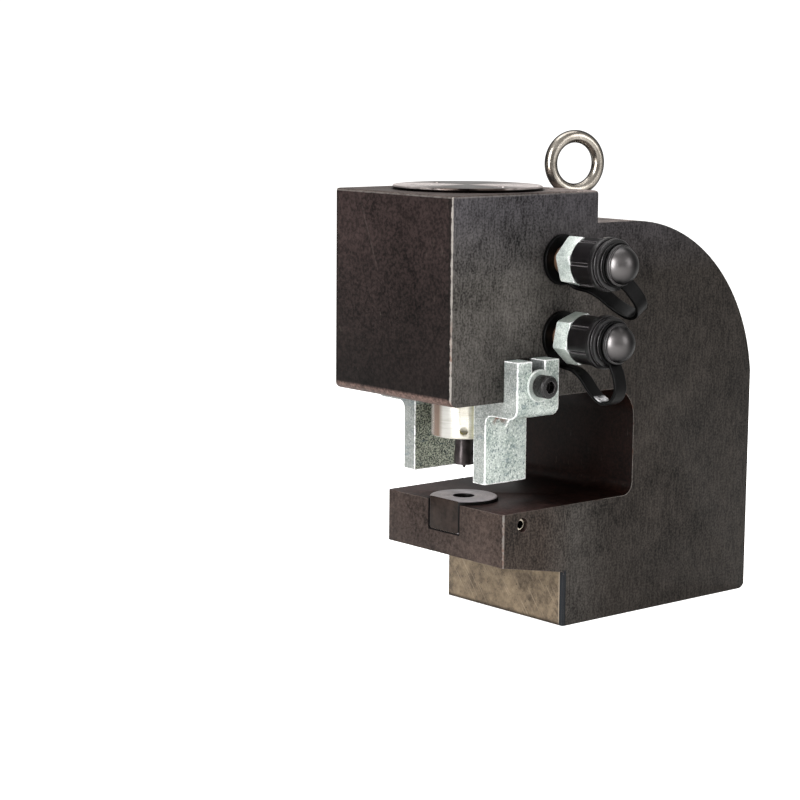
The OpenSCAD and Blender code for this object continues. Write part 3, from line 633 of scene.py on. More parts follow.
def make_edge_wear():
    """Mask of convex and sharp edges, broken up by noise."""
    group, w, given, out = new_group(
        "edge wear", {"Place": None, "Width": 0.0008, "Patch scale": 400.0, "Evenness": 0.5}, ["Mask"])
    bevel = w.node("Bevel", samples=6)
    w.feed(bevel.inputs["Radius"], given["Width"])
    dot = w.node("VectorMath", operation="DOT_PRODUCT")
    w.feed(dot.inputs[0], bevel.outputs[0])
    w.feed(dot.inputs[1], w.node("NewGeometry").outputs["Normal"])
    turned_away = w.ramp(dot.outputs["Value"], 0.985, 0.86)
    patches = w.noise(given["Place"], given["Patch scale"], 4.0, 0.6)
    broken = w.ramp(w.plus(patches, w.times(given["Evenness"], 0.5)), 0.42, 0.62)
    w.feed(out["Mask"], w.times(turned_away, broken, clamp=True))
    return group


def make_grain():
    """Fine streaks and spots: Fac is about 0.5 on average, Height drives a bump."""
    group, w, given, out = new_group(
        "metal grain", {"Place": None, "Streak scale": 900.0, "Cloud scale": 30.0}, ["Fac", "Clouds", "Height"])
    streaks = w.noise(w.stretch(given["Place"], (1, 1, 0.22)), given["Streak scale"], 3.0, 0.65)
    spots = w.noise(given["Place"], w.times(given["Streak scale"], 1.3), 3.0, 0.6)
    w.feed(out["Fac"], w.blend_value(0.6, streaks, spots))
    w.feed(out["Clouds"], w.noise(given["Place"], given["Cloud scale"], 4.0, 0.55))
    w.feed(out["Height"], w.blend_value(0.5, streaks, spots))
    return group


def make_speckle():
    """Light and dark grains of a casting, as two masks."""
    group, w, given, out = new_group(
        "casting speckle", {"Place": None, "Scale": 700.0}, ["Light", "Dark", "Height"])
    fine = w.noise(given["Place"], given["Scale"], 3.0, 0.6)
    coarse = w.noise(given["Place"], w.times(given["Scale"], 0.33), 2.0, 0.5)
    both = w.blend_value(0.2, fine, coarse)
    w.feed(out["Light"], w.ramp(both, 0.52, 0.64))
    w.feed(out["Dark"], w.ramp(both, 0.47, 0.36))
    w.feed(out["Height"], both)
    return group


def make_turning():
    """Fine rings left by a lathe tool, round the place's own Z axis."""
    group, w, given, out = new_group("turning marks", {"Place": None, "Rings per metre": 1500.0}, ["Fac"])
    parts = w.axes(given["Place"])
    line = w.node("CombineXYZ")
    w.feed(line.inputs[0], w.times(w.reach(parts[0], parts[1]), given["Rings per metre"]))
    w.feed(out["Fac"], w.noise(line.outputs[0], 1.0, 3.0, 0.6))
    return group


# ---------------------------------------------------------------- materials

def new_material(name, **constants):
    material = bpy.data.materials.new(name)
    material.use_nodes = True
    material.node_tree.nodes.clear()
    w = Wiring(material.node_tree)
    shader = w.node("BsdfPrincipled")
    for label, value in constants.items():
        shader.inputs[label.replace("_", " ")].default_value = value
    w.feed(w.node("OutputMaterial").inputs["Surface"], shader.outputs[0])
    return material, w, shader


def reopened(material):
    """The wiring, the shader and the colour so far of a material that gets more detail."""
    shader = material.node_tree.nodes["Principled BSDF"]
    return Wiring(material.node_tree), shader, shader.inputs["Base Color"].links[0].from_socket


def finish(w, shader, colour, rough, height, distance):
    """Feeds a colour, a roughness as (share, grey value, start), and a bump whose depth is in millimetres."""
    share, value, start = rough
    w.feed(shader.inputs["Base Color"], colour)
    w.feed(shader.inputs["Roughness"], w.plus(w.times(value, share), start))
    made = w.node("Bump")
    w.feed(made.inputs["Height"], height)
    made.inputs["Distance"].default_value = distance * MM
    w.feed(shader.inputs["Normal"], made.outputs[0])


def edge_mask(w, groups, width, scale, evenness):
    wear = w.group(groups["edge wear"], Place=w.place(), Width=width, Patch_scale=scale, Evenness=evenness)
    return wear["Mask"]


def bare_steel(w):
    """The sawn front of the base: tan steel with dark specks, oil stains and slanting scratches."""
    stain = w.noise(w.place(), 46.0, 7.0, 0.78)
    bare = w.blend(w.ramp(stain, 0.36, 0.6), rgb(BASE_DARK), rgb(BASE_LIGHT))
    bare = w.paint(bare, "2c2622", w.ramp(w.noise(w.place(), 700.0, 2.0, 0.5), 0.33, 0.27))
    slanted = w.mapping(w.place(), Rotation=(0, math.radians(38), 0))
    scratches = w.noise(w.stretch(slanted, (1, 1, 0.035)), 900.0, 2.0, 0.5)
    return w.paint(bare, "b0a08b", w.ramp(scratches, 0.6, 0.7), 0.4)


def frame_masks(w, axis):
    """Masks of the block's faces and parts, from places and facings in the CAD frame."""
    facing = w.axes(w.normal())
    on = {
        "front": w.ramp(w.times(facing[1], -1.0), *SQUARE_ON),
        "side": w.ramp(w.size(facing[0]), *SQUARE_ON),
        "level": w.ramp(w.size(facing[2]), *SQUARE_ON),
        "jaw": w.ramp(axis[2], *BELOW_THROAT),
        "head": w.ramp(axis[1], *COLUMN_TO_HEAD),
        "head front": w.ramp(axis[1], *AT_HEAD_FRONT)}
    on["jaw front"] = w.times(on["front"], on["jaw"])
    on["jaw tip"] = w.times(w.ramp(axis[1], *AT_JAW_TIP), on["jaw"])
    on["not side"] = w.flip(on["side"])
    return on


def face_tones(w, axis, on):
    """The tone of each face, partly the scale's colour and partly painted light and shade: grey sides, browner
    and darker fronts, pale patches on the head's rear top that are partly wear and partly a painted sheen,
    painted shade in the throat and on the jaw's top towards it, a light lip under the head.
    """
    side = w.blend(on["head"], rgb(COLUMN), rgb(HEAD_SIDE))
    side = w.paint(side, JAW_SIDE, on["jaw"], w.ramp(axis[1], -0.09, -0.12))
    side = w.paint(side, HEAD_SIDE_HIGH, w.ramp(axis[2], 0.25, 0.3), 0.8)
    # The fronts are darker than the sides, partly as painted shade
    front = w.blend(w.ramp(axis[0], 0.03, -0.06), rgb(HEAD_FRONT), rgb(HEAD_FRONT_LEFT))
    front = w.paint(front, HEAD_FRONT_LOW, w.ramp(axis[2], 0.28, 0.18))
    jaw_front = w.blend(w.ramp(axis[0], -0.02, 0.05), rgb(JAW_FRONT), rgb(JAW_FRONT_RIGHT))
    # The jaw's top darkens towards the throat: painted shade
    jaw_top = w.blend(w.ramp(axis[1], -0.135, -0.09), rgb(JAW_TOP), rgb(THROAT_SHADE))
    patches = w.ramp(w.noise(w.place(), 120.0, 5.0, 0.75), 0.3, 0.75)
    # Pale patches on the head's rear top: partly wear, partly a painted sheen
    worn_and_sheen_shelf = w.times(w.zone(axis[1], -0.1, -0.02, 0.03), patches, w.ramp(axis[2], 0.28, 0.29))

    colour = w.blend(on["front"], side, front)
    colour = w.blend(on["jaw front"], colour, jaw_front)
    colour = w.blend(on["level"], colour, w.blend(worn_and_sheen_shelf, rgb(HEAD_TOP), rgb(HEAD_TOP_REAR)))
    colour = w.blend(w.times(on["level"], on["jaw"]), colour, jaw_top)
    colour = w.paint(colour, LIP, w.zone(axis[2], 0.165, 0.1745, 0.001), on["not side"],
                     w.ramp(axis[1], -0.195, -0.205))
    # Painted shade inside the throat
    in_throat = w.times(w.zone(axis[2], 0.0905, 0.1695, 0.0012), w.ramp(axis[1], -0.018, -0.024))
    return w.paint(colour, THROAT_SHADE, in_throat, on["not side"], w.ramp(axis[1], -0.12, -0.08))


def frame_shade(w, axis, on, grain):
    """Light and dark of the scale: fine grain, clouds and blotches, with painted shade on the side round the
    strippers.
    """
    fine = w.blend_value(on["front"], grain["Fac"], w.noise(w.place(), 430.0, 4.0, 0.7))
    fine = w.blend_value(w.times(on["jaw front"], 0.45), fine, 0.5)
    blotches = w.noise(w.stretch(w.place(), (1, 1, 0.8)), 85.0, 6.0, 0.75)
    shade = w.plus(
        w.times(w.ramp(fine, 0.42, 0.58), 0.95), w.times(w.ramp(grain["Clouds"], 0.35, 0.65), 0.45),
        w.times(w.ramp(blotches, 0.32, 0.68), 0.65))
    # Painted shade on the head's side by the strippers
    stripper_shade = w.times(on["side"], on["head"], w.ramp(axis[2], 0.225, 0.19))
    return w.times(shade, w.flip(w.times(stripper_shade, 0.24)))


def head_scratch(w, axis, on):
    """One faint slanting scratch high on the head's front."""
    start_x, start_z = SCRATCH_START
    across = w.plus(w.times(w.minus(axis[0], start_x), SCRATCH_ACROSS[0]),
                    w.times(w.minus(axis[2], start_z), SCRATCH_ACROSS[1]))
    line = w.zone(across, -0.0004, 0.0004, 0.0003)
    return w.times(line, w.zone(axis[2], 0.262, 0.304, 0.006), on["front"], on["head front"])


def with_base_front(w, axis, on, colour):
    """Adds the base's sawn front with its bright edge and dark foot, and the dark corner beside it."""
    bare = w.paint(bare_steel(w), "b3a695", w.zone(axis[0], 0.0578, 0.0586, 0.0002), 0.5)
    bare = w.paint(bare, "1f1b19", w.ramp(axis[2], 0.0028, 0.0008), 0.8)
    share = w.times(on["jaw front"], w.ramp(axis[1], -0.12, -0.11), w.ramp(axis[1], -0.06, -0.08))
    colour = w.blend(share, colour, bare)
    dark_corner = w.times(w.zone(axis[1], -0.1, -0.0962, 0.0003), w.ramp(axis[0], 0.0586, 0.0589))
    return w.paint(colour, "25272a", dark_corner, w.ramp(axis[2], 0.042, 0.04))


def gap_shade(w, axis, across, on):
    """Painted shade, black, in the gaps: round the die's pocket in front, round the die on top, and round the
    closing plug.
    """
    from_punch = w.reach(axis[0], w.minus(axis[1], PUNCH_Y * MM))
    pocket_sides = w.times(w.zone(across, 0.0155, 0.0172, 0.0002), w.ramp(axis[2], 0.067, 0.0675))
    pocket_floor = w.times(w.zone(axis[2], 0.0666, 0.0678, 0.0002), w.ramp(across, 0.0172, 0.0168))
    pocket = w.times(on["jaw tip"], w.math("MAXIMUM", pocket_sides, pocket_floor))
    jaw_ring = w.times(w.ramp(from_punch, 0.0262, 0.0256), on["jaw"], w.ramp(axis[1], -0.1583, -0.158))
    head_ring = w.times(w.ramp(from_punch, 0.0552, 0.0545), w.ramp(axis[2], 0.3, 0.301))
    return w.math("MAXIMUM", pocket, w.math("MAXIMUM", jaw_ring, head_ring))


def worn_corners(w, axis, on, width_x, ragged):
    """Broken bright lines on the upright corners of head and jaw, and along the head's top edge."""
    corner = w.ramp(width_x, 0.0615, 0.0617)
    head = w.times(corner, w.ramp(w.minus(axis[1], ragged), -0.20855, -0.2089))
    jaw = w.times(corner, on["jaw"], w.zone(axis[1], -0.16, -0.15755, 0.0002))
    broken = w.ramp(w.noise(w.stretch(w.place(), (1, 1, 0.35)), 150.0, 4.0, 0.7), 0.3, 0.55)
    corners = w.times(w.plus(head, w.times(jaw, 0.7), clamp=True), w.plus(w.times(broken, 0.55), 0.35))
    rim = w.times(w.zone(axis[2], 0.3112, 0.3128, 0.0003), w.flip(on["level"]))
    return w.plus(corners, w.times(rim, broken, 0.35), clamp=True)


def worn_edges(w, axis, across, on, groups):
    """Patchy bare metal on all edges, stronger round the throat where it also stands for a painted highlight, and
    none beside the die's pocket.
    """
    wear = edge_mask(w, groups, 0.0009, 190.0, 0.55)
    by_pocket = w.times(on["jaw tip"], w.ramp(across, 0.019, 0.018))
    in_throat = w.times(w.zone(axis[1], -0.06, -0.024, 0.002), w.zone(axis[2], 0.085, 0.175, 0.002))
    # Round the throat the worn edges are brightened as a painted highlight
    return w.times(wear, w.ramp(by_pocket, 0.5, 0.1), w.plus(0.28, w.times(in_throat, 0.5)))


def frame_steel(groups):
    """Scaled block steel: upright grain on grey sides, browner fronts, bare base front, worn corners."""
    material, w, shader = new_material("scaled frame steel", Specular_IOR_Level=0.07)
    axis = w.axes(w.place())
    across = w.size(axis[0])
    on = frame_masks(w, axis)
    grain = w.group(groups["grain"], Place=w.place(), Streak_scale=480.0, Cloud_scale=17.0)

    colour = w.tint(face_tones(w, axis, on), frame_shade(w, axis, on, grain))
    marks = w.noise(w.stretch(w.place(), (1, 1, 0.3)), 210.0, 5.0, 0.72)
    colour = w.paint(colour, "8d8378", w.ramp(marks, 0.63, 0.72), 0.08)
    colour = w.paint(colour, "9a8f88", head_scratch(w, axis, on), SCRATCH_SHARE)
    colour = with_base_front(w, axis, on, colour)
    # Painted shade in the gaps round the die and round the plug
    colour = w.paint(colour, "050404", gap_shade(w, axis, across, on))

    ragged = w.times(w.minus(w.noise(w.place(), 260.0, 3.0, 0.6), 0.5), 0.0016)
    width_x = w.plus(across, ragged)
    # A painted shadow line on the front beside the head's rounded corner
    shade_beside_corner = w.times(w.zone(width_x, 0.0595, 0.0612, 0.0005), on["front"], on["head front"])
    colour = w.paint(colour, "0b0908", shade_beside_corner, 0.45)
    edges = worn_edges(w, axis, across, on, groups)
    worn = w.plus(edges, worn_corners(w, axis, on, width_x, ragged), clamp=True)
    rust = w.times(w.ramp(w.noise(w.place(), 95.0, 4.0, 0.7), 0.5, 0.66), w.ramp(axis[2], 0.33, 0.18))
    colour = w.blend(worn, colour, w.blend(rust, rgb(WORN), rgb(RUST)))

    finish(w, shader, colour, (0.3, grain["Clouds"], 0.3), grain["Height"], 0.08)
    w.feed(shader.inputs["Metallic"], w.times(worn, 0.2))
    return material


def plain_metal(name, groups, light, dark, roughness, metallic=1.0, wear=None, streak=900.0, depth=0.02,
                edge=0.0006):
    """A machined or plated metal: two tones in fine grain, with brighter edges."""
    material, w, shader = new_material(name, Metallic=metallic)
    grain = w.group(groups["grain"], Place=w.place(), Streak_scale=streak, Cloud_scale=90.0)
    tone = w.plus(w.times(grain["Fac"], 0.5), w.times(grain["Clouds"], 0.5))
    colour = w.blend(w.ramp(tone, 0.38, 0.62), rgb(dark), rgb(light))
    if wear:
        colour = w.paint(colour, wear, edge_mask(w, groups, edge, 500.0, 1.0))
    finish(w, shader, colour, (0.15, grain["Clouds"], roughness - 0.07), grain["Height"], depth)
    return material


def nut_zinc(groups):
    """Bright zinc on a turned nut, with painted reflections set by which way each face looks: white in the
    middle, brown and yellow flanks; fine turning lines.
    """
    material = plain_metal("bright zinc nut", groups, "efece2", "cdc8b8", 0.24, metallic=0.55)
    w, shader, colour = reopened(material)
    # Painted reflections: grey and brown towards the left front, pale yellow towards the right rear
    turn = w.sideways(w.normal())
    colour = w.paint(colour, "b3b2ad", w.ramp(turn, -0.3, -0.45))
    colour = w.paint(colour, "654b3a", w.zone(turn, -0.96, -0.72, 0.06), 0.9)
    colour = w.paint(colour, "fbf7a2", w.ramp(turn, 0.15, 0.4))
    lines = w.noise(w.stretch(w.place(), (0.05, 0.05, 1)), 1300.0, 2.0, 0.6)
    w.feed(shader.inputs["Base Color"], w.paint(colour, "6d675c", w.ramp(lines, 0.5, 0.65), 0.24))
    return material


def coupling_zinc(groups):
    """Speckled zinc plate on the hexagons, with white chamfers and painted shade on the lower hexagon's slanted
    facets; a painted brown reflection on the neck behind.
    """
    material = plain_metal("coupling zinc", groups, "dfe6e0", "9ba7a3", 0.34, metallic=0.4, wear="ffffff",
                           streak=1100.0, edge=0.001)
    w, shader, colour = reopened(material)
    axis, facing = w.axes(w.place()), w.axes(w.normal())
    is_lower = w.ramp(axis[2], 0.24, 0.238)
    specks = w.ramp(w.noise(w.place(), 1100.0, 3.0, 0.65), 0.5, 0.4)
    colour = w.paint(colour, "4d5a58", specks, 0.4)
    # Painted shade on the lower hexagon's slanted facets
    colour = w.paint(colour, "4b4f40", w.ramp(w.size(facing[2]), 0.5, 0.8), is_lower, 0.5)
    colour = w.paint(colour, "ffffff", w.zone(w.size(facing[0]), 0.2, 0.9, 0.05))
    hexagon_start = w.minus(0.0749, w.times(is_lower, 0.0016))
    neck = w.ramp(w.minus(hexagon_start, axis[0]), 0.0, 0.0002)
    # Painted reflection on the neck: brown towards the left front, near black towards the right rear
    brown = w.blend(w.ramp(w.sideways(w.normal()), -0.9, -0.2), rgb("6e5645"), rgb("1c1411"))
    w.feed(shader.inputs["Base Color"], w.blend(neck, colour, brown))
    return material


def eye_metal(groups):
    """A polished forging with painted dark reflections on its flanks."""
    material = plain_metal("polished eye", groups, "beb7ad", "8f887e", 0.24, depth=0.004)
    w, shader, colour = reopened(material)
    # Painted dark reflections where the ring is seen on edge
    flank = w.ramp(w.edge_on(), 0.22, 0.55)
    w.feed(shader.inputs["Base Color"], w.paint(colour, "060505", flank, 0.97))
    return material


def lock_screw_metal(groups):
    """A bright screw whose socket is painted black as shade."""
    material = plain_metal("bright lock screw", groups, "efe6d6", "b5aa98", 0.22)
    w, shader, colour = reopened(material)
    axis = w.axes(w.place())
    from_axis = w.reach(w.minus(axis[1], PUNCH_Y * MM), w.minus(axis[2], DIE_SCREW_Z * MM))
    # Painted shade: the socket black
    w.feed(shader.inputs["Base Color"], w.paint(colour, "0b0908", w.ramp(from_axis, 0.0031, 0.0028)))
    return material


def casting_zinc(groups):
    """Zinc on a sandy casting: pale with white and blue-dark grains, white worn edges, a little rust; painted
    shade in the slot, on the front faces and in the creases, and a painted reflection on the left leg's inner
    face.
    """
    material, w, shader = new_material("zinc plated casting", Metallic=0.35)
    axis, facing = w.axes(w.place()), w.axes(w.normal())
    speckle = w.group(groups["speckle"], Place=w.place(), Scale=820.0)
    colour = w.blend(w.ramp(w.noise(w.place(), 60.0, 3.0, 0.5), 0.38, 0.62), rgb("9eaaa4"), rgb("bfc8c2"))
    colour = w.paint(colour, "eef2ee", speckle["Light"], 0.8)
    colour = w.paint(colour, "42545a", speckle["Dark"], 0.9)
    # Painted shade in the clamp slot
    in_slot = w.times(w.zone(axis[1], -0.1462, -0.1338, 0.0003), w.ramp(axis[2], 0.172, 0.176))
    colour = w.paint(colour, "34444d", in_slot, 0.75)

    # Painted olive reflection and shade on the inner face of the left leg
    at_left = w.ramp(axis[0], 0.0, -0.01)
    inner_face = w.times(at_left, w.ramp(facing[0], 0.6, 0.8), w.ramp(axis[2], 0.158, 0.155))
    olive = w.blend(w.ramp(speckle["Height"], 0.46, 0.57), rgb("2b2f24"), rgb("c3c7af"))
    colour = w.blend(w.times(inner_face, 0.8), colour, olive)
    # Painted shade on the faces looking to the front, deeper on the left stripper, washed with grey
    front = w.ramp(w.times(facing[1], -1.0), 0.6, 0.8)
    colour = w.tint(colour, w.flip(w.times(front, w.plus(0.36, w.times(at_left, 0.14)))))
    colour = w.paint(colour, "8b8484", front, 0.26)

    stain = w.noise(w.stretch(w.place(), (1, 1, 2.5)), 60.0, 5.0, 0.7)
    colour = w.paint(colour, "3e5866", w.ramp(stain, 0.56, 0.7), 0.5)
    rounded = w.node("NewGeometry").outputs["Pointiness"]
    patches = w.ramp(w.noise(w.place(), 300.0, 3.0, 0.6), 0.3, 0.5)
    colour = w.paint(colour, "ffffff", w.ramp(rounded, 0.508, 0.53), patches)
    # Painted shade in the hollows and creases
    colour = w.paint(colour, "4c5558", w.ramp(rounded, 0.49, 0.46), 0.6)
    rust = w.ramp(w.noise(w.place(), 160.0, 4.0, 0.7), 0.42, 0.56)
    under_web = w.times(w.zone(axis[2], 0.151, 0.1575, 0.0015), w.zone(axis[1], -0.152, -0.143, 0.002))
    colour = w.paint(colour, "7c3f1f", rust, under_web, w.ramp(axis[0], 0.0, 0.01), 0.95)
    finish(w, shader, colour, (0.3, speckle["Height"], 0.3), speckle["Height"], 0.25)
    return material


def turned_steel(name, groups, light, dark, roughness, metallic=1.0, bow=0.6, specular=0.5,
                 rim_low=0.3146):
    """A face turned round the punch's axis, with fine rings, a painted bow-tie highlight of their shine, and
    painted shade on the edge below.
    """
    material, w, shader = new_material(name, Metallic=metallic, Anisotropic=0.75, Specular_IOR_Level=specular)
    w.feed(shader.inputs["Tangent"], w.node("Tangent", direction_type="RADIAL", axis="Z").outputs[0])
    centred = w.mapping(w.place(), Location=(0, -PUNCH_Y * MM, 0))
    rings = w.group(groups["turning"], Place=centred, Rings_per_metre=1400.0)["Fac"]
    clouds = w.noise(w.place(), 60.0, 4.0, 0.6)
    tone = w.plus(w.times(rings, 0.5), w.times(clouds, 0.5))
    colour = w.blend(w.ramp(tone, 0.38, 0.62), rgb(dark), rgb(light))

    axis = w.axes(centred)
    radius = w.reach(axis[0], axis[1])
    along = w.math("DIVIDE", w.size(w.sideways(centred)), w.plus(radius, 0.0005))
    uneven = w.times(w.minus(w.noise(w.place(), 90.0, 5.0, 0.7), 0.5), 0.7)
    # Painted highlight: the bow-tie shine of the rings across the face
    colour = w.paint(colour, "f3e9e6", w.ramp(w.plus(along, uneven), 0.4, 0.9), bow)
    # Painted shade on the upright edge below the face
    upright = w.size(w.axes(w.normal())[2])
    colour = w.paint(colour, "14100f", w.ramp(upright, 0.7, 0.5), w.ramp(axis[2], rim_low + 0.0004, rim_low))
    finish(w, shader, colour, (0.2, clouds, roughness - 0.1), rings, 0.05)
    return material


def die_steel(groups):
    """The die: ground on top, with dark scale on its flat front, and painted shade, black, in its hole and round
    its foot.
    """
    material = turned_steel("ground die", groups, "cdc7cc", "6e676b", 0.33, metallic=0.45, bow=0.3, specular=0.12,
                            rim_low=0.0912)
    w, shader, top = reopened(material)
    axis = w.axes(w.place())
    front = w.ramp(w.times(w.axes(w.normal())[1], -1.0), 0.6, 0.8)
    scale = w.blend(w.ramp(w.noise(w.place(), 160.0, 5.0, 0.7), 0.35, 0.65), rgb("1b1512"), rgb("2d2420"))
    from_axis = w.reach(axis[0], w.minus(axis[1], PUNCH_Y * MM))
    in_hole = w.ramp(from_axis, 0.00815, 0.0079)
    outside = w.times(w.ramp(from_axis, 0.0241, 0.0244), w.ramp(axis[2], 0.0912, 0.091))
    # Painted shade: black in the die's hole and round its foot in the pocket
    black = w.math("MAXIMUM", in_hole, outside)
    w.feed(shader.inputs["Base Color"], w.paint(w.blend(front, top, scale), "0a0808", black))
    w.feed(shader.inputs["Metallic"], w.times(w.ramp(w.plus(front, in_hole), 0.9, 0.1), 0.45))
    return material


def black_gloss(name, groups, light, dark, roughness, metallic, specular=0.5, depth=0.02):
    """Black metal with clouds, a fine grain and greyer edges."""
    material, w, shader = new_material(name, Metallic=metallic, Specular_IOR_Level=specular)
    clouds = w.noise(w.place(), 140.0, 4.0, 0.6)
    colour = w.blend(w.ramp(clouds, 0.35, 0.65), rgb(dark), rgb(light))
    colour = w.paint(colour, "9b9698", edge_mask(w, groups, 0.0005, 400.0, 0.8), 0.75)
    finish(w, shader, colour, (0.2, clouds, roughness - 0.1), w.noise(w.place(), 1500.0, 2.0, 0.5), depth)
    return material


def cap_black(groups):
    """Black anodised metal, polished and metallic on the dome, with a painted grey highlight in the dome's middle
    that gives way to painted shade on its rear flank.
    """
    material = black_gloss("black anodised cap", groups, "100e0f", "060506", 0.34, 0.0, depth=0.01)
    w, shader, colour = reopened(material)
    dome = w.ramp(w.axes(w.place())[0], *DOME_FROM)
    flank = w.ramp(w.sideways(w.normal()), 0.9, 0.45)
    centre = w.ramp(w.edge_on(), 0.52, 0.02)
    # Painted highlight in the dome's middle, painted shade on its rear flank
    w.feed(shader.inputs["Base Color"], w.paint(colour, DOME, dome, flank, centre))
    w.feed(shader.inputs["Metallic"], w.times(dome, 0.9))
    w.feed(shader.inputs["Roughness"], w.plus(0.3, w.times(dome, 0.06)))
    return material


def rubber(name, painted_glint=False):
    """Dull black rubber; the straps' lowest bend has a painted glint, a pale, ragged patch."""
    material, w, shader = new_material(name, Metallic=0.0, Specular_IOR_Level=0.1)
    dust = w.noise(w.place(), 110.0, 4.0, 0.6)
    colour = w.blend(w.ramp(dust, 0.45, 0.75), rgb("020202"), rgb("080708"))
    if painted_glint:
        axis = w.axes(w.place())
        # Painted glint on the upward face of the strap's lowest bend
        bend = w.times(w.zone(axis[0], 0.1035, 0.1085, 0.0015), w.ramp(axis[2], 0.19, 0.185))
        upward = w.ramp(w.axes(w.normal())[2], 0.3, 0.6)
        ragged = w.ramp(w.noise(w.place(), 350.0, 4.0, 0.7), 0.4, 0.55)
        colour = w.paint(colour, "e4e4e6", bend, upward, ragged)
    finish(w, shader, colour, (0.3, dust, 0.25), w.noise(w.place(), 1800.0, 2.0, 0.5), 0.02)
    return material


def paper_floor():
    """Pale paper that the camera sees as nearly white."""
    material, w, shader = new_material("pale studio paper", Metallic=0.0, Roughness=0.9)
    colour = w.blend(w.noise(w.place(), 3.0, 2.0, 0.5), rgb("f2f2f1"), rgb("f7f7f6"))
    w.feed(shader.inputs["Base Color"], colour)
    shader.inputs["Emission Color"].default_value = (1, 1, 1, 1)
    seen = w.node("LightPath").outputs["Is Camera Ray"]
    w.feed(shader.inputs["Emission Strength"], w.times(seen, FLOOR_GLOW))
    return material


# ---------------------------------------------------------------- studio

def make_stage():
    """A pale floor that runs far back."""
    deselect()
    bpy.ops.mesh.primitive_plane_add(size=1, location=(0, 0, -0.0002))
    floor = bpy.context.object
    floor.scale = (24, 24, 1)
    floor.name = floor.data.name = "studio_floor"
    settle(floor)
    floor.data.materials.append(paper_floor())
    return floor


def add_softbox(name, where, aim, size, power, colour=(1, 1, 1)):
    lamp = bpy.data.lights.new(name, "AREA")
    lamp.shape = "RECTANGLE"
    lamp.size, lamp.size_y = size
    lamp.energy = power
    lamp.color = colour
    thing = bpy.data.objects.new(name, lamp)
    bpy.context.collection.objects.link(thing)
    thing.location = where
    thing.rotation_mode = "QUATERNION"
    thing.rotation_quaternion = (Vector(aim) - Vector(where)).to_track_quat("-Z", "Y")
    return thing


def make_world():
    """White to look at. As light it is a white tent, darker low down at the left and behind the camera."""
    world = bpy.data.worlds.new("pale studio")
    bpy.context.scene.world = world
    world.use_nodes = True
    tree = world.node_tree
    tree.nodes.clear()
    w = Wiring(tree)
    seen = w.node("Background")
    seen.inputs["Color"].default_value = (1, 1, 1, 1)
    seen.inputs["Strength"].default_value = 1.1
    way = w.axes(w.node("TexCoord").outputs["Generated"])
    low_down = w.ramp(way[2], 0.62, 0.12)
    left = w.ramp(w.plus(w.times(way[0], -0.82), w.times(way[1], -0.57)), 0.5, 0.85)
    behind = w.ramp(w.plus(w.times(way[0], 0.78), w.times(way[1], -0.62)), 0.8, 0.96)
    dark = w.times(low_down, w.plus(w.times(left, 0.85), w.times(behind, 0.7)), clamp=True)
    lit = w.node("Background")
    lit.inputs["Color"].default_value = (1, 0.985, 0.965, 1)
    w.feed(lit.inputs["Strength"], w.minus(TENT_LIGHT, w.times(dark, TENT_SHADE)))
    mixed = w.node("MixShader")
    w.feed(mixed.inputs[0], w.node("LightPath").outputs["Is Camera Ray"])
    w.feed(mixed.inputs[1], lit.outputs[0])
    w.feed(mixed.inputs[2], seen.outputs[0])
    w.feed(w.node("OutputWorld").inputs["Surface"], mixed.outputs[0])


def light_studio():
    make_world()
    add_softbox("front left softbox", (0.35, -2.1, 0.75), (0, -0.1, 0.2), (0.55, 1.6), 62)
    add_softbox("right softbox", (2.1, 0.6, 1.0), (0, 0, 0.2), (0.9, 1.4), 14)
    add_softbox("top softbox", (-0.3, 0.1, 1.8), (0, 0, 0.2), (1.5, 1.2), 22)


def aim_camera():
    yaw, pitch, roll = (math.radians(a) for a in (49.649, 8.530, 0.492))
    forward = Vector((-math.sin(yaw) * math.cos(pitch), math.cos(yaw) * math.cos(pitch), -math.sin(pitch)))
    level = Vector((math.cos(yaw), math.sin(yaw), 0))
    up = level.cross(forward)
    right = math.cos(roll) * level + math.sin(roll) * up
    up = -math.sin(roll) * level + math.cos(roll) * up
    camera = bpy.data.objects.new("camera", bpy.data.cameras.new("camera"))
    bpy.context.collection.objects.link(camera)
    camera.data.lens = 99.58
    camera.data.sensor_width = 36.0
    camera.data.clip_start = 0.05
    camera.data.clip_end = 100.0
    turn = Matrix((right, up, -forward)).transposed().to_4x4()
    camera.matrix_world = Matrix.Translation((1.17081, -1.19603, 0.39737)) @ turn
    bpy.context.scene.camera = camera


# ---------------------------------------------------------------- assembly

def dress(piece, material):
    piece.data.materials.clear()
    piece.data.materials.append(material)


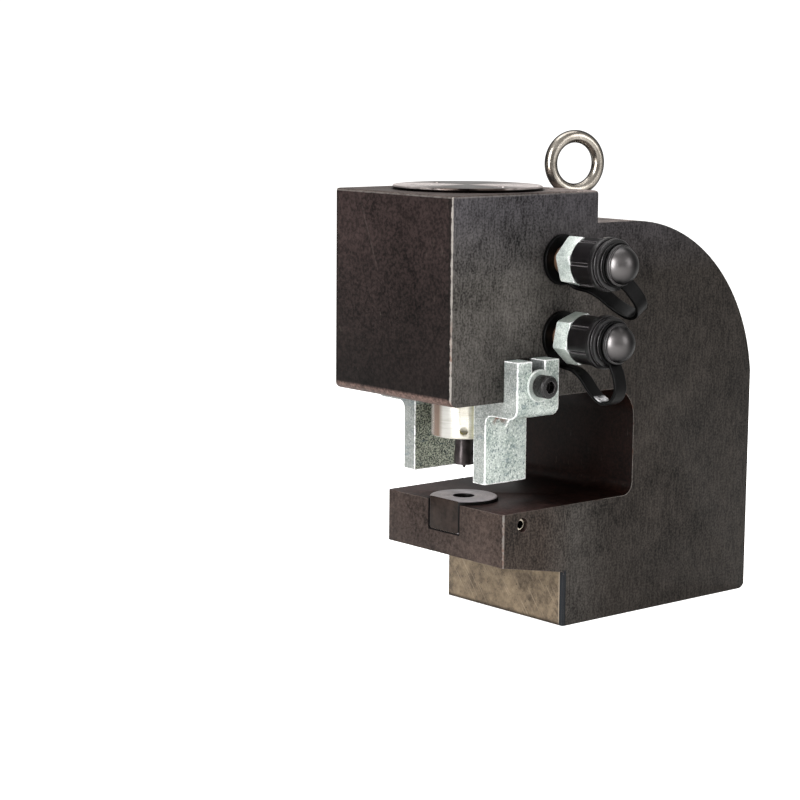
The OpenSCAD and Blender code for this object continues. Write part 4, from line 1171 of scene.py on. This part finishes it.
def main():
    bpy.context.scene.view_settings.view_transform = "Standard"
    groups = {
        "edge wear": make_edge_wear(), "grain": make_grain(), "speckle": make_speckle(),
        "turning": make_turning()}
    steel = plain_metal("ground steel", groups, "b9b7b2", "8f8c88", 0.3)
    zinc = plain_metal("machined zinc plate", groups, "dce2db", "909c98", 0.34, metallic=0.4, wear="ffffff",
                       edge=0.0013)
    coupling = coupling_zinc(groups)
    bronze = plain_metal("gland bronze", groups, "b08d4e", "8a6a36", 0.35)
    spring = plain_metal("drawn spring wire", groups, "a9a9a7", "77777a", 0.3)
    black_screw = black_gloss("black screw", groups, "120f0f", "070606", 0.28, 0.0, specular=0.45)
    anodised = cap_black(groups)
    black_tool = black_gloss("black punch steel", groups, "3d3637", "231f1f", 0.3, 0.7)
    seal = rubber("seal rubber")
    strap = rubber("strap rubber", painted_glint=True)

    dress(refined("frame", "frame_block", "body_frame", "frame_steel", 0.45, 32), frame_steel(groups))
    dress(refined("cylinder_plug", "closing_plug", "body_frame", "plug_steel", 0.25),
          turned_steel("turned plug", groups, "5f544f", "120d0c", 0.3))
    dress(refined("punch_nut", "knocked_nut", "body_ram", "nut_steel", 0.2), nut_zinc(groups))
    dress(make_punch(), black_tool)
    dress(refined("die", "flat_front_die", "body_frame", "die_steel", 0.25), die_steel(groups))
    dress(refined("die_lock_screw", "die_lock", "body_frame", "screw_brass", 0.15), lock_screw_metal(groups))
    casting = casting_zinc(groups)
    for side in ("right", "left"):
        dress(make_stripper(side), casting)
    dress(make_washers(), zinc)
    dress(make_clamp_screws(), black_screw)
    dress(make_lifting_eye(), eye_metal(groups))
    for level in ("upper", "lower"):
        base, nose = "coupling_base_" + level, "coupling_nose_" + level
        dress(refined(base, "coupling_hexagon_" + level, "body_frame", "coupling_zinc", 0.22, 25), coupling)
        dress(refined(nose, "coupling_nose_turned_" + level, "body_frame", "coupling_zinc", 0.2), zinc)
        dress(make_valve_spring(level), spring)
        dress(make_dust_cap(level), anodised)
        dress(make_strap(level), strap)

    inner = {
        "plug_o_ring": seal, "gland_o_ring": seal, "rod_seal": seal, "rod_wiper": seal, "piston_seal": seal,
        "piston_guide_ring": bronze, "gland_bush": bronze, "ram": steel,
        "valve_guide_upper": bronze, "valve_guide_lower": bronze, "valve_upper": steel, "valve_lower": steel,
        "valve_seal_upper": seal, "valve_seal_lower": seal}
    for name, material in inner.items():
        dress(NODES[name], material)

    make_stage()
    light_studio()
    aim_camera()


main()
